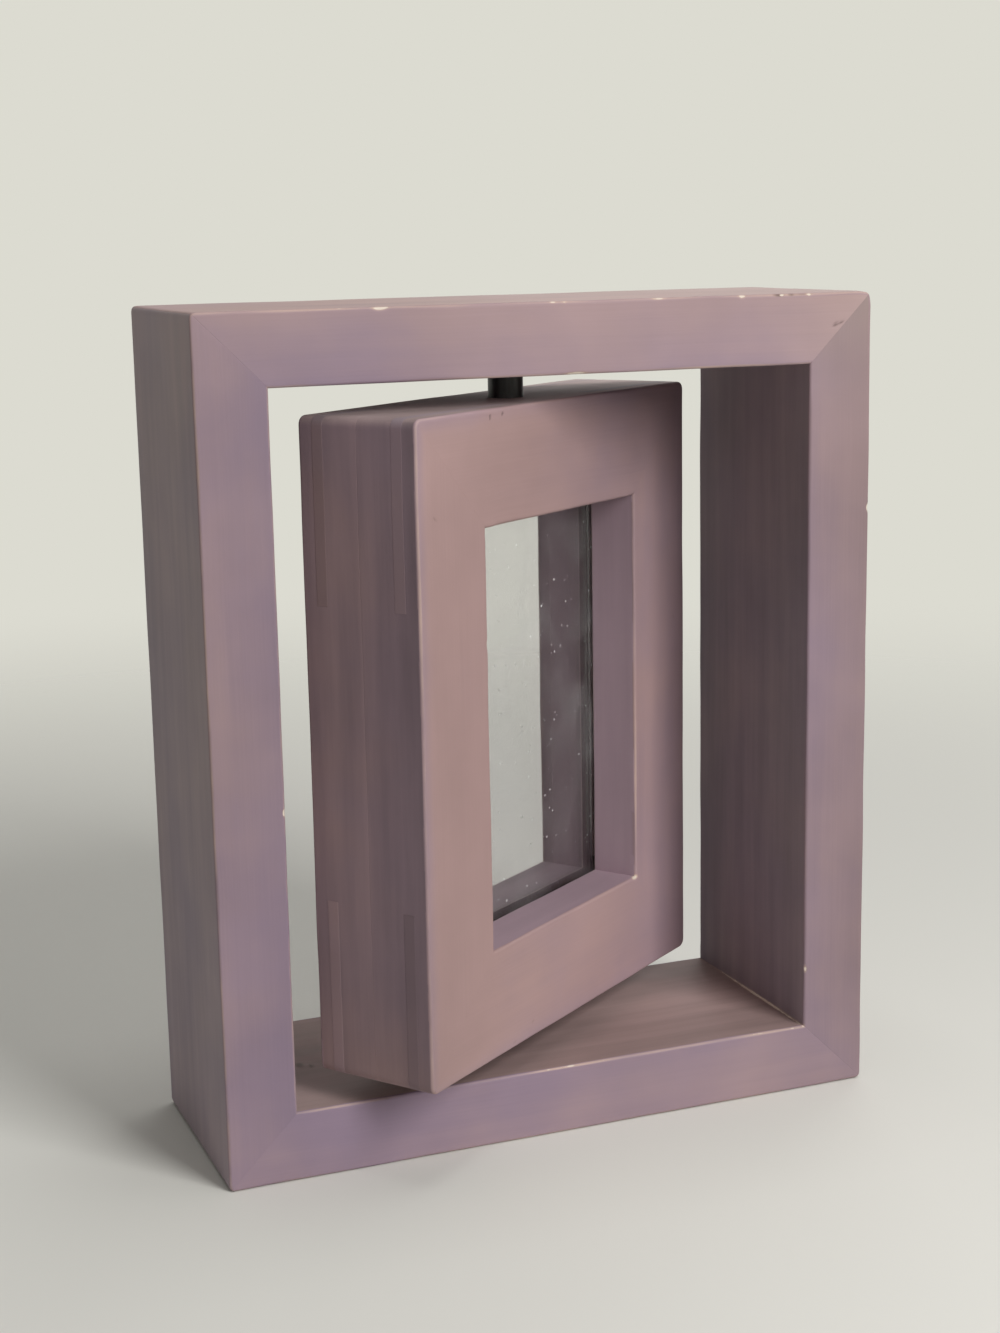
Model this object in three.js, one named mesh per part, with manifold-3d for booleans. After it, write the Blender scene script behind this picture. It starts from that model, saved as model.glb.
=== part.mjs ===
/**
 * Double-sided photo frame: a mitred outer frame that stands on a shelf, with a glazed
 * picture frame swivelling inside it on two dowels, so that either side can face the room.
 *
 * The picture frame is two plies glued back to back. Each ply is mitred, with a key let
 * into every corner, and a rebate round its back. Together the rebates make the groove
 * that holds two panes, and on one edge they run out to the open as the loading slot.
 *
 * Millimetres, +Z up. The origin is the middle of the underside, +X runs along the front
 * to the right, and +Y points to the back.
 */
import * as THREE from 'three';
import { mergeVertices } from 'three/addons/utils/BufferGeometryUtils.js';
import Module from 'manifold-3d';

// Window and glazing
const WINDOW_WIDTH = 81;
const WINDOW_HEIGHT = 118;
const PANE_THICKNESS = 3;
const PANE_SIDE_PLAY = 1;
const PANE_END_PLAY = 0.5;
const PANE_SEAM = 0.4; // width of the flat that is ground along each edge of a pane

// Picture frame: two plies, back to back
const PLY_THICKNESS = 18.8;
const FACE_WIDTH = 31.5;
const REBATE_WIDTH = 5;
const REBATE_DEPTH = 4;
const FACE_ARRIS = 2.5; // radius sanded on the outside edges
const WINDOW_ARRIS = 0.8;
const PICTURE_CORNER = 2.5; // radius of the four corners, seen from the front

// Keys let into the picture frame's mitres
const KEY_THICKNESS = 3.5;
const KEY_INSET = 4.5; // face to key
const KEY_LAND = 9.2; // mitre left whole at the window's corner

// Outer frame
const SIDE_GAP = 6.8; // swing gap beside the picture frame
const END_GAP = 7.8; // gap above and below it
const BOARD_THICKNESS = 19.7;
const BOARD_DEPTH = 68.5;
const BOARD_ARRIS = 0.8;
const BOARD_CORNER = 1.5;

// Biscuits hidden in the outer frame's mitres
const BISCUIT_LENGTH = 47;
const BISCUIT_WIDTH = 15;
const BISCUIT_THICKNESS = 4;
const BISCUIT_TIP = 5; // width of the clipped ends
const BISCUIT_SETBACK = 11; // from the inside corner, along the mitre

// Pivot dowels
const PIVOT_DIAMETER = 10;
const PIVOT_BORE_DEPTH = 12; // glued into the outer frame
const PIVOT_SOCKET_DEPTH = 12; // running in the picture frame
const PIVOT_CHAMFER = 0.8;

// Clearances
const GLUE_LINE = 0.1; // between glued faces
const SEAT_GAP = 0.25; // under a piece that rests in its seat
const PIVOT_CLEARANCE = 0.1; // round a dowel, on the radius

// Pose and fineness
const REST_TURN = 35.7; // degrees, anticlockwise from above
const ARC_STEPS = 5; // facets along an arris
const ROUND_STEPS = 48; // facets round a dowel
const OVERCUT = 1; // how far a cutter runs past the face that it cuts
const SAME_POINT = 1e-4; // corners closer than this are one

// Sizes that follow
const PICTURE_WIDTH = WINDOW_WIDTH + 2 * FACE_WIDTH;
const PICTURE_HEIGHT = WINDOW_HEIGHT + 2 * FACE_WIDTH;
const OPENING_WIDTH = PICTURE_WIDTH + 2 * SIDE_GAP;
const OPENING_HEIGHT = PICTURE_HEIGHT + 2 * END_GAP;
const OUTER_HEIGHT = OPENING_HEIGHT + 2 * BOARD_THICKNESS;
const PANE_WIDTH = WINDOW_WIDTH + 2 * (REBATE_WIDTH - PANE_SIDE_PLAY);
const PANE_HEIGHT = WINDOW_HEIGHT + 2 * (REBATE_WIDTH - PANE_END_PLAY);
const SLOT_LENGTH = WINDOW_HEIGHT + 2 * REBATE_WIDTH;
const KEY_SLOT_LEG = 2 * FACE_WIDTH - Math.SQRT2 * KEY_LAND;
const KEY_MIDDLE = KEY_INSET + KEY_THICKNESS / 2 - PLY_THICKNESS;
const PIVOT_RADIUS = PIVOT_DIAMETER / 2;
const BORE_RADIUS = PIVOT_RADIUS + PIVOT_CLEARANCE;
const QUARTER = Math.PI / 2;

const painted = { color: 0x9c8790, roughness: 0.5, metalness: 0 };
const blackened = { color: 0x1c1a1b, roughness: 0.45, metalness: 0 };
const beech = { color: 0xc9a57c, roughness: 0.7, metalness: 0 };
const clear = { color: 0xdde8e4, roughness: 0.05, metalness: 0, transparent: true, opacity: 0.3 };

// Directions that a drawn outline's two axes, and its extrusion, are laid along
const ALONG_X = new THREE.Matrix4().set(0, 0, 1, 0, 1, 0, 0, 0, 0, 1, 0, 0, 0, 0, 0, 1);
const THROUGH_DEPTH = new THREE.Matrix4().makeRotationX(QUARTER);

const wasm = await Module();
wasm.setup();

/** A closed three.js geometry as a solid that can be joined and cut. */
function solidOf(geometry) {
  const bare = geometry.clone();
  bare.deleteAttribute('normal');
  bare.deleteAttribute('uv');
  const merged = mergeVertices(bare, SAME_POINT);
  return new wasm.Manifold(new wasm.Mesh({
    numProp: 3,
    vertProperties: new Float32Array(merged.attributes.position.array),
    triVerts: new Uint32Array(merged.index.array),
  }));
}

/** A solid back as a three.js geometry. */
function geometryOf(solid) {
  const { vertProperties, triVerts } = solid.getMesh();
  const geometry = new THREE.BufferGeometry();
  geometry.setAttribute('position', new THREE.BufferAttribute(vertProperties, 3));
  geometry.setIndex(new THREE.BufferAttribute(triVerts, 1));
  geometry.computeVertexNormals();
  return geometry;
}

/** An outline extruded both ways from its own plane, then laid by a matrix. */
function prism(shape, thickness, laid) {
  const geometry = new THREE.ExtrudeGeometry(shape, {
    depth: thickness,
    bevelEnabled: false,
    curveSegments: ARC_STEPS,
  });
  return geometry.translate(0, 0, -thickness / 2).applyMatrix4(laid);
}

/** A closed outline through the points given. */
function polygon(points) {
  return new THREE.Shape(points.map(([x, y]) => new THREE.Vector2(x, y)));
}

/** An upright cylinder on the Z axis, between two heights. */
function cylinderUp(radius, from, to) {
  const geometry = new THREE.CylinderGeometry(radius, radius, to - from, ROUND_STEPS);
  return geometry.rotateX(QUARTER).translate(0, 0, (from + to) / 2);
}

/**
 * Outline of one mitred member, seen from the front: its sight edge lies on the first
 * axis, its ends rise at 45 degrees, and its outside corners take half of each radius.
 */
function memberPlan(sight, width, corner) {
  const shortened = GLUE_LINE / Math.SQRT2;
  const lean = Math.asin(GLUE_LINE / 2 / corner);
  const cornerX = sight / 2 + width - corner;
  const cornerY = width - corner;
  const plan = new THREE.Shape();
  plan.moveTo(shortened - sight / 2, 0);
  plan.lineTo(sight / 2 - shortened, 0);
  plan.absarc(cornerX, cornerY, corner, QUARTER / 2 + lean, QUARTER, false);
  plan.absarc(-cornerX, cornerY, corner, QUARTER, 1.5 * QUARTER - lean, false);
  return plan;
}

/** Section of an outer board: a rectangle of depth by thickness with eased arrises. */
function boardSection() {
  const side = BOARD_DEPTH / 2 - BOARD_ARRIS;
  const top = BOARD_THICKNESS - BOARD_ARRIS;
  const section = new THREE.Shape();
  section.absarc(side, top, BOARD_ARRIS, 0, QUARTER, false);
  section.absarc(-side, top, BOARD_ARRIS, QUARTER, 2 * QUARTER, false);
  section.absarc(-side, BOARD_ARRIS, BOARD_ARRIS, 2 * QUARTER, 3 * QUARTER, false);
  section.absarc(side, BOARD_ARRIS, BOARD_ARRIS, 3 * QUARTER, 4 * QUARTER, false);
  return section;
}

/** Section of a front ply: rounded outside and at the window, rebated at its glued back. */
function plySection() {
  const back = -GLUE_LINE / 2;
  const face = -PLY_THICKNESS;
  const rounded = FACE_WIDTH - FACE_ARRIS;
  const section = new THREE.Shape();
  section.moveTo(back, REBATE_WIDTH);
  section.lineTo(back, FACE_WIDTH);
  section.absarc(face + FACE_ARRIS, rounded, FACE_ARRIS, QUARTER, 2 * QUARTER, false);
  section.absarc(face + WINDOW_ARRIS, WINDOW_ARRIS, WINDOW_ARRIS, 2 * QUARTER, 3 * QUARTER, false);
  section.lineTo(-REBATE_DEPTH, 0);
  section.lineTo(-REBATE_DEPTH, REBATE_WIDTH);
  return section;
}

/** A section carried along a member and cut to its mitred plan. */
function mitredBar(section, depth, sight, width, corner) {
  const reach = sight + 2 * (width + OVERCUT);
  const bar = solidOf(prism(section, reach, ALONG_X));
  const plan = prism(memberPlan(sight, width, corner), 2 * (depth + OVERCUT), THROUGH_DEPTH);
  return bar.intersect(solidOf(plan));
}

/** Outline of a biscuit: two arcs over its length, with clipped tips. */
function biscuitOutline(clearance) {
  const halfLength = BISCUIT_LENGTH / 2 + clearance;
  const halfWidth = BISCUIT_WIDTH / 2 + clearance;
  const halfTip = BISCUIT_TIP / 2 + clearance;
  const rise = halfWidth - halfTip;
  const radius = (halfLength ** 2 + rise ** 2) / (2 * rise);
  const spread = Math.asin(halfLength / radius);
  const outline = new THREE.Shape();
  outline.absarc(0, halfWidth - radius, radius, QUARTER - spread, QUARTER + spread, false);
  outline.absarc(0, radius - halfWidth, radius, 3 * QUARTER - spread, 3 * QUARTER + spread, false);
  return outline;
}

/** A biscuit, or with a clearance its slot, set across the mitre at an inside corner. */
function biscuitShape(clearance) {
  const outward = new THREE.Vector3(Math.SQRT1_2, 0, Math.SQRT1_2);
  const across = new THREE.Vector3(-Math.SQRT1_2, 0, Math.SQRT1_2);
  const laid = new THREE.Matrix4().makeBasis(new THREE.Vector3(0, 1, 0), across, outward);
  laid.setPosition(outward.clone().multiplyScalar(BISCUIT_SETBACK));
  return prism(biscuitOutline(clearance), BISCUIT_THICKNESS + 2 * clearance, laid);
}

/** A key for the top right corner, with its outside corner at the origin. */
function keyShape() {
  const leg = KEY_SLOT_LEG - Math.SQRT2 * GLUE_LINE;
  const outline = new THREE.Shape();
  outline.moveTo(-leg, 0);
  outline.lineTo(0, -leg);
  outline.absarc(-PICTURE_CORNER, -PICTURE_CORNER, PICTURE_CORNER, 0, QUARTER, false);
  return prism(outline, KEY_THICKNESS, THROUGH_DEPTH);
}

/** The saw cut that takes a key, run out past the corner on both sides. */
function keySlotShape() {
  const far = -KEY_SLOT_LEG - OVERCUT;
  const cut = polygon([[far, OVERCUT], [OVERCUT, far], [OVERCUT, OVERCUT]]);
  return prism(cut, KEY_THICKNESS + 2 * GLUE_LINE, THROUGH_DEPTH);
}

/** Both ends of a top member, as a quarter turn and a place for something at its corners. */
function memberEnds(halfLength, rise, depth) {
  return [
    new THREE.Matrix4().makeTranslation(halfLength, depth, rise),
    new THREE.Matrix4().makeRotationY(-QUARTER).setPosition(-halfLength, depth, rise),
  ];
}

/** An outer board, lying as the top one does with its sight face at zero height. */
function outerBoard(sight, carriesPivot) {
  let board = mitredBar(boardSection(), BOARD_DEPTH / 2, sight, BOARD_THICKNESS, BOARD_CORNER);
  for (const end of memberEnds(sight / 2, 0, 0)) {
    board = board.subtract(solidOf(biscuitShape(GLUE_LINE).applyMatrix4(end)));
  }
  if (carriesPivot) {
    board = board.subtract(solidOf(cylinderUp(BORE_RADIUS, -OVERCUT, PIVOT_BORE_DEPTH)));
  }
  return geometryOf(board);
}

/** A front ply's member, lying as the top one does with its sight edge at zero height. */
function plyMember(sight, { carriesPivot = false, slotted = false } = {}) {
  let member = mitredBar(plySection(), PLY_THICKNESS, sight, FACE_WIDTH, PICTURE_CORNER);
  for (const end of memberEnds(sight / 2 + FACE_WIDTH, FACE_WIDTH, KEY_MIDDLE)) {
    member = member.subtract(solidOf(keySlotShape().applyMatrix4(end)));
  }
  if (carriesPivot) {
    const bottom = FACE_WIDTH - PIVOT_SOCKET_DEPTH;
    member = member.subtract(solidOf(cylinderUp(BORE_RADIUS, bottom, FACE_WIDTH + OVERCUT)));
  }
  if (slotted) {
    const cut = new THREE.BoxGeometry(SLOT_LENGTH, 2 * REBATE_DEPTH, FACE_WIDTH + 2 * OVERCUT);
    member = member.subtract(solidOf(cut.translate(0, 0, FACE_WIDTH / 2)));
  }
  return geometryOf(member);
}

/** A mesh with its node's name and a material of its own. */
function named(name, geometry, finish) {
  const mesh = new THREE.Mesh(geometry, new THREE.MeshStandardMaterial(finish));
  mesh.name = name;
  return mesh;
}

// The four sides of a frame, each as a number of quarter turns from the top
const TURNS = { top: 0, right: 1, bottom: 2, left: 3 };
// The four corners, each as a number of quarter turns from the top right
const CORNERS = { top_right: 0, bottom_right: 1, bottom_left: 2, top_left: 3 };

/** Moves a mesh that was made for the top to its own side of an opening. */
function placeOnSide(mesh, side, width, height) {
  const away = (side === 'top' || side === 'bottom' ? height : width) / 2;
  mesh.rotation.y = TURNS[side] * QUARTER;
  mesh.position.set(0, 0, away).applyEuler(mesh.rotation);
  return mesh;
}

/** Moves a mesh that was made for the top right corner of a rectangle to its own corner. */
function placeOnCorner(mesh, corner, width, height, depth) {
  const [upDown, leftRight] = corner.split('_');
  mesh.rotation.y = CORNERS[corner] * QUARTER;
  const x = (leftRight === 'right' ? width : -width) / 2;
  mesh.position.set(x, depth, (upDown === 'top' ? height : -height) / 2);
  return mesh;
}

/** A pivot dowel standing on the floor of its bore, for the bottom of the frame. */
function pivotDowel() {
  const length = PIVOT_BORE_DEPTH + END_GAP + PIVOT_SOCKET_DEPTH - 2 * SEAT_GAP;
  const neck = PIVOT_RADIUS - PIVOT_CHAMFER;
  const profile = [
    [0, 0],
    [neck, 0],
    [PIVOT_RADIUS, PIVOT_CHAMFER],
    [PIVOT_RADIUS, length - PIVOT_CHAMFER],
    [neck, length],
    [0, length],
  ].map(([radius, height]) => new THREE.Vector2(radius, height));
  const dowel = new THREE.LatheGeometry(profile, ROUND_STEPS).rotateX(QUARTER);
  return dowel.translate(0, 0, SEAT_GAP - PIVOT_BORE_DEPTH);
}

/** The outer frame about the middle of its opening: boards, biscuits and dowels. */
function outerFrame() {
  const frame = new THREE.Group();
  for (const side of Object.keys(TURNS)) {
    const isRail = side === 'top' || side === 'bottom';
    const sight = isRail ? OPENING_WIDTH : OPENING_HEIGHT;
    const name = `outer_${side}_${isRail ? 'rail' : 'stile'}`;
    const board = named(name, outerBoard(sight, isRail), painted);
    frame.add(placeOnSide(board, side, OPENING_WIDTH, OPENING_HEIGHT));
  }
  for (const corner of Object.keys(CORNERS)) {
    const biscuit = named(`outer_biscuit_${corner}`, biscuitShape(0), beech);
    frame.add(placeOnCorner(biscuit, corner, OPENING_WIDTH, OPENING_HEIGHT, 0));
  }
  for (const [end, turn] of [['bottom', 0], ['top', Math.PI]]) {
    const dowel = named(`pivot_dowel_${end}`, pivotDowel(), blackened);
    dowel.rotation.x = turn;
    dowel.position.z = (end === 'top' ? OPENING_HEIGHT : -OPENING_HEIGHT) / 2;
    frame.add(dowel);
  }
  return frame;
}

/**
 * One ply with its keys, made as the front one. The back ply is the same thing turned half
 * round, so what is on its right there is on the left seen from the front.
 */
function ply(face, slottedSide, nameSide) {
  const frame = new THREE.Group();
  for (const side of Object.keys(TURNS)) {
    const isRail = side === 'top' || side === 'bottom';
    const sight = isRail ? WINDOW_WIDTH : WINDOW_HEIGHT;
    const options = { carriesPivot: isRail, slotted: side === slottedSide };
    const name = `inner_${face}_${nameSide(side)}_${isRail ? 'rail' : 'stile'}`;
    const member = named(name, plyMember(sight, options), painted);
    frame.add(placeOnSide(member, side, WINDOW_WIDTH, WINDOW_HEIGHT));
  }
  for (const corner of Object.keys(CORNERS)) {
    const key = named(`inner_${face}_key_${nameSide(corner)}`, keyShape(), painted);
    frame.add(placeOnCorner(key, corner, PICTURE_WIDTH, PICTURE_HEIGHT, KEY_MIDDLE));
  }
  return frame;
}

/** A pane with seamed edges, standing in its ply's rebate. */
function pane(name, towards) {
  const [x, y] = [PANE_WIDTH / 2, PANE_HEIGHT / 2];
  const glass = new THREE.ExtrudeGeometry(polygon([[-x, -y], [x, -y], [x, y], [-x, y]]), {
    depth: PANE_THICKNESS - 2 * PANE_SEAM,
    bevelThickness: PANE_SEAM,
    bevelSize: PANE_SEAM,
    bevelOffset: -PANE_SEAM,
    bevelSegments: 1,
  });
  glass.translate(0, 0, PANE_SEAM - PANE_THICKNESS / 2).rotateX(QUARTER);
  const mesh = named(name, glass, clear);
  const away = REBATE_DEPTH - SEAT_GAP - PANE_THICKNESS / 2;
  mesh.position.set(0, towards * away, SEAT_GAP - PANE_END_PLAY);
  return mesh;
}

/** The picture frame about the middle of its window, with the slot on its +X edge. */
function pictureFrame() {
  const frame = new THREE.Group();
  const swapped = (side) => side.replace(/left|right/, (s) => (s === 'left' ? 'right' : 'left'));
  const back = ply('back', 'left', swapped);
  back.rotation.z = Math.PI;
  frame.add(ply('front', 'right', (side) => side), back);
  frame.add(pane('glass_front', -1), pane('glass_back', 1));
  return frame;
}

const photoFrame = new THREE.Group();
const outer = outerFrame();
const picture = pictureFrame();
outer.position.z = OUTER_HEIGHT / 2;
picture.position.z = OUTER_HEIGHT / 2;
picture.rotation.z = THREE.MathUtils.degToRad(REST_TURN);
photoFrame.add(outer, picture);

export default photoFrame;
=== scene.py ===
"""Looks of a double-sided photo frame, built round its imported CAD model.

Both frames are painted wood, so every member is remade here as a surface: eased and
slightly uneven arrises, hairline joints, knocked edges, bores for the dowels and slots
for the keys. The dowels are turned again, and the panes and the biscuits hidden in the
outer frame's mitres keep their CAD shape and get a finish.

Sizes are in millimetres until a mesh is made. Meshes are in metres in the CAD frame, +Z
up, +X along the front to the right and +Y to the back.
"""

import logging
from collections.abc import Callable, Iterable, Sequence
from dataclasses import dataclass, field
from enum import Enum, IntEnum
from functools import partial
from math import cos, pi, radians, sin, sqrt

import bpy
import numpy as np
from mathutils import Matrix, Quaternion, Vector


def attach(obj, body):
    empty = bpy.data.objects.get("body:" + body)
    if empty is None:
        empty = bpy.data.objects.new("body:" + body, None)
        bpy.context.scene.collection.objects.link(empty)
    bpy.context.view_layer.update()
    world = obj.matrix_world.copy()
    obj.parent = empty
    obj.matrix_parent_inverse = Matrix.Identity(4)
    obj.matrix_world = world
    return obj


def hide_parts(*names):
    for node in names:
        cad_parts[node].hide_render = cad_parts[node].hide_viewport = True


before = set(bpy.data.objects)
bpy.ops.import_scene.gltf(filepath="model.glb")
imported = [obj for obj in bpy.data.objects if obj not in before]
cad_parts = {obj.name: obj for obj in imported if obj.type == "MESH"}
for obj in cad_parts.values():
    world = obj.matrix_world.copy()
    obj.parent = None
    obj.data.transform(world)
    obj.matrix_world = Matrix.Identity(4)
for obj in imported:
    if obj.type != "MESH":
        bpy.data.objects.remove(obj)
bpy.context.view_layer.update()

Array = np.ndarray
Pair = tuple[float, float]
Triple = tuple[float, float, float]
Material = bpy.types.Material
Node = bpy.types.Node
Add = Callable[..., Node]  # the function node, with its tree given

LOG = logging.getLogger("photo_frame")

MM = 0.001
HAIR = 0.005  # half of a joint that glue and paint have closed
MARGIN = 0.25  # first column beside an arris, which keeps the flat's shading flat
ROW_STEP = 0.8  # between rows along a member
CROWDED_ROW = 0.25 * ROW_STEP  # even rows and columns this near to a fixed one are left out
CROWDED_COLUMN = 0.3 * MARGIN
ARRIS_FACETS = 6
SHARP_EDGE = radians(35.0)
REST_TURN = radians(35.7)  # of the picture frame and its panes about the upright axis
BRUSH_MAP = "along_and_round"
NO_SHARES = np.empty(0)
# Distances between pieces on the brush map and in the field of the sanding, so that no two
# have the same marks
BRUSH_APART, KEYS_APART, DOWELS_APART = 1000.0, 300.0, 50.0
SIDES_APART, PLIES_APART, ARRISES_APART = 300.0, 90.0, 37.0


class Side(Enum):
    """Sides of a frame, each as its number of quarter turns from the top."""

    TOP = 0
    RIGHT = 1
    BOTTOM = 2
    LEFT = 3

    @property
    def is_rail(self) -> bool:
        """True for the two level members."""
        return self in (Side.TOP, Side.BOTTOM)

    @property
    def label(self) -> str:
        """The side as the pieces' names have it."""
        return self.name.lower()

    @property
    def member(self) -> str:
        """The member on this side as the CAD nodes name it."""
        return f"{self.label}_{'rail' if self.is_rail else 'stile'}"

    def along(self, points: Array) -> Array:
        """Each point's distance along a member on this side."""
        return points[..., 0 if self.is_rail else 2]

    def carry(self, points: Array) -> Array:
        """Turns points made for the top round to this side, about the frame's middle.

        Args:
            points: places in mm, the last axis x, y and z.

        Returns:
            The turned places: one quarter turn takes x, y, z to z, y, -x.
        """
        x, y, z = np.moveaxis(points, -1, 0)
        turned = ((x, y, z), (z, y, -x), (-x, y, -z), (-z, y, x))[self.value]
        return np.stack(turned, axis=-1)


class Ply(Enum):
    """The two plies of the picture frame, glued back to back."""

    FRONT = "front"
    BACK = "back"

    @property
    def is_back(self) -> bool:
        """True for the back ply."""
        return self is Ply.BACK

    def carry(self, points: Array) -> Array:
        """Leaves a front ply's points, and turns them half round Z for the back one."""
        return points * (-1.0, -1.0, 1.0) if self.is_back else points

    def seen(self, built: str) -> str:
        """Name, seen from the front, of what was built as the front ply's."""
        swap = {"left": "right", "right": "left"} if self.is_back else {}
        return "_".join(swap.get(word, word) for word in built.split("_"))


class Leg(IntEnum):
    """Legs of a board's section, in order."""

    FRONT = 0
    OUTSIDE = 1
    BACK = 2
    SIGHT = 3


class Mark(Enum):
    """What a knock left behind, by the vertex attribute that shows it."""

    BARE = "wear"  # paint gone, primer shows
    GRIME = "grime"  # paint kept, dark with dirt; the same attribute carries painted shade in the panes' groove


@dataclass(frozen=True)
class Knock:
    """A small dent or chip: a bowl pushed into the surface round one place."""

    at: Triple  # middle of the bowl, from the middle of its frame
    push: Triple  # way in which the surface is pushed
    reach: Triple  # half sizes of the bowl along x, y and z
    depth: float  # how far the middle is pushed
    mark: Mark = Mark.BARE
    share: float = 1.0  # how strongly the mark shows in the middle


@dataclass(frozen=True)
class Ripple:
    """A smooth random field in space, made of sine waves laid in random directions.

    Its value at p is the sum over the waves of sin(2 pi d.p / length + phase), divided by
    the root of their number, which keeps it around -1 to 1.
    """

    seed: int
    longest: float
    shortest: float
    waves: int = 8

    def at(self, points: Array) -> Array:
        """Value of the field at each of the places given.

        Args:
            points: places in mm, the last axis x, y and z.

        Returns:
            One value for each place.
        """
        draw = np.random.default_rng(self.seed)
        ways = draw.normal(size=(self.waves, 3))
        ways /= np.linalg.norm(ways, axis=1, keepdims=True)
        lengths = np.geomspace(self.longest, self.shortest, self.waves)
        phases = draw.uniform(0.0, 2.0 * pi, self.waves)
        angles = points @ (2.0 * pi * ways / lengths[:, None]).T + phases
        return np.sin(angles).sum(axis=-1) / sqrt(self.waves)


# Hand-worked wood is never quite straight: one field for each axis, shared by a whole
# frame, so that members and keys still meet.
WIND = (Ripple(11, 90.0, 24.0), Ripple(12, 90.0, 24.0), Ripple(13, 90.0, 24.0))
WIND_REACH = 0.05
# How much each arris was sanded, along its length
SANDING = Ripple(21, 120.0, 9.0)
# Where hands and shelves have rubbed the arrises
RUBBING = Ripple(31, 70.0, 8.0)
RUBBED_LEAST, RUBBED_SPREAD = 0.30, 0.14


def sanded(radius: float, spread: float, rows: Array, apart: float, number: int) -> Array:
    """Radius of an arris at each row: radius (1 + spread s), with s the sanding there.

    Args:
        radius: radius on average.
        spread: share of it by which sanding varies it.
        rows: places of the rows along the member.
        apart: the member's shift in the field of the sanding.
        number: number of the arris on its member.

    Returns:
        One radius for each row.
    """
    places = rows[:, None] * (1.0, 0.0, 0.0) + apart
    return radius * (1.0 + spread * SANDING.at(places + (0.0, ARRISES_APART * number, 0.0)))


def rubbed(arris: Array, points: Array) -> Array:
    """Wear at each point: some along every arris, and more where it was rubbed."""
    return arris * (RUBBED_LEAST + RUBBED_SPREAD * RUBBING.at(points))


def looped(grid: Array, beside: Array) -> Array:
    """Values at the corners of a tube's faces: its quads row by row, then its two ends.

    Args:
        grid: a value for each row and column.
        beside: the same, one column further round.

    Returns:
        The values, face by face.
    """
    quads = np.stack([grid[:-1], grid[1:], beside[1:], beside[:-1]], axis=-1)
    return np.concatenate([quads.ravel(), grid[0], grid[-1, ::-1]])


def linked(name: str, data: bpy.types.ID) -> bpy.types.Object:
    """Makes an object at the origin and links it to the scene.

    Args:
        name: its name.
        data: its mesh, lamp or camera.

    Returns:
        The object.
    """
    made = bpy.data.objects.new(name, data)
    bpy.context.scene.collection.objects.link(made)
    return made


@dataclass
class Surface:
    """A closed surface on a grid: rows go along it, columns round it, flat ends close it."""

    points: Array  # places in mm, by row, column and axis
    length: Array  # distance along the piece at each row and column, for the brush marks
    girth: Array  # distance round it at each column, with the closing one at the end
    fields: dict[str, Array] = field(default_factory=dict)  # vertex attributes, by row and column

    def worked(self, knocks: Iterable[Knock]) -> "Surface":
        """The surface with the wood's wind and the knocks that it has taken.

        A knock moves a point by depth (1 - d.d)^2 along its push, where d is the point's
        distance from the middle in half sizes of the bowl, and marks it by (1 - d.d)^2 too.

        Args:
            knocks: the knocks on this frame, far ones included.

        Returns:
            A surface on the same grid.
        """
        moved = self.points + WIND_REACH * np.stack(
            [ripple.at(self.points) for ripple in WIND], axis=-1
        )
        fields = dict(self.fields)
        for knock in knocks:
            away = (self.points - knock.at) / knock.reach
            bowl = np.clip(1.0 - (away**2).sum(axis=-1), 0.0, 1.0) ** 2
            push = np.array(knock.push) / np.linalg.norm(knock.push)
            moved = moved + knock.depth * bowl[..., None] * push
            fields[knock.mark.value] = fields[knock.mark.value] + knock.share * bowl
        return Surface(moved, self.length, self.girth, fields)

    def to_object(self, name: str) -> bpy.types.Object:
        """Makes the mesh, with its brush map and attributes, as an object at the origin.

        Args:
            name: name of the object and its mesh.

        Returns:
            The object, linked to the scene.
        """
        grid = rows, columns = self.points.shape[:2]
        index = np.arange(rows * columns).reshape(grid)
        quads, ends = np.split(looped(index, np.roll(index, -1, axis=1)), [4 * (rows - 1) * columns])
        mesh = bpy.data.meshes.new(name)
        faces = quads.reshape(-1, 4).tolist() + ends.reshape(2, -1).tolist()
        mesh.from_pydata((self.points.reshape(-1, 3) * MM).tolist(), [], faces)

        u = np.broadcast_to(self.length, grid)
        v, v_beside = (np.broadcast_to(part, grid) for part in (self.girth[:-1], self.girth[1:]))
        unwrapped = np.stack([looped(u, np.roll(u, -1, axis=1)), looped(v, v_beside)], axis=-1)
        layer = mesh.uv_layers.new(name=BRUSH_MAP)
        layer.data.foreach_set("uv", (unwrapped * MM).astype(np.float32).ravel())

        for key, values in self.fields.items():
            spread = np.broadcast_to(values, grid).astype(np.float32)
            made = mesh.attributes.new(key, "FLOAT", "POINT")
            made.data.foreach_set("value", spread.ravel())
        mesh.shade_smooth()
        mesh.set_sharp_from_angle(angle=SHARP_EDGE)
        return linked(name, mesh)


@dataclass(frozen=True)
class Corner:
    """One corner of a member's section, and the leg that follows it.

    Depth runs from front to back, and rise outwards from the sight edge. Each of them and
    the radius is one number, or an array with one for each row along the member.
    """

    depth: float | Array
    rise: float | Array
    radius: float | Array = 0.0  # of the arris
    facets: int = 0  # columns that the arris is split into
    shares: Array = field(default_factory=lambda: NO_SHARES)  # columns on the leg, by its length


@dataclass(frozen=True)
class Columns:
    """A section at every row: its columns' places, and what kind of place each is."""

    places: Array  # depth and rise by row and column
    arris: Array  # 1 at the middle of an arris and 0 from its ends on, by column
    leg: Array  # number of the corner whose leg a column is on, or -1, by column

    def girth(self) -> Array:
        """Adds up the steps from column to column round the section's middle row.

        Returns:
            Distance round at each column, and at the end all the way round.
        """
        middle = self.places[len(self.places) // 2]
        steps = np.linalg.norm(np.roll(middle, -1, axis=0) - middle, axis=-1)
        return np.concatenate([[0.0], np.cumsum(steps)])


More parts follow.
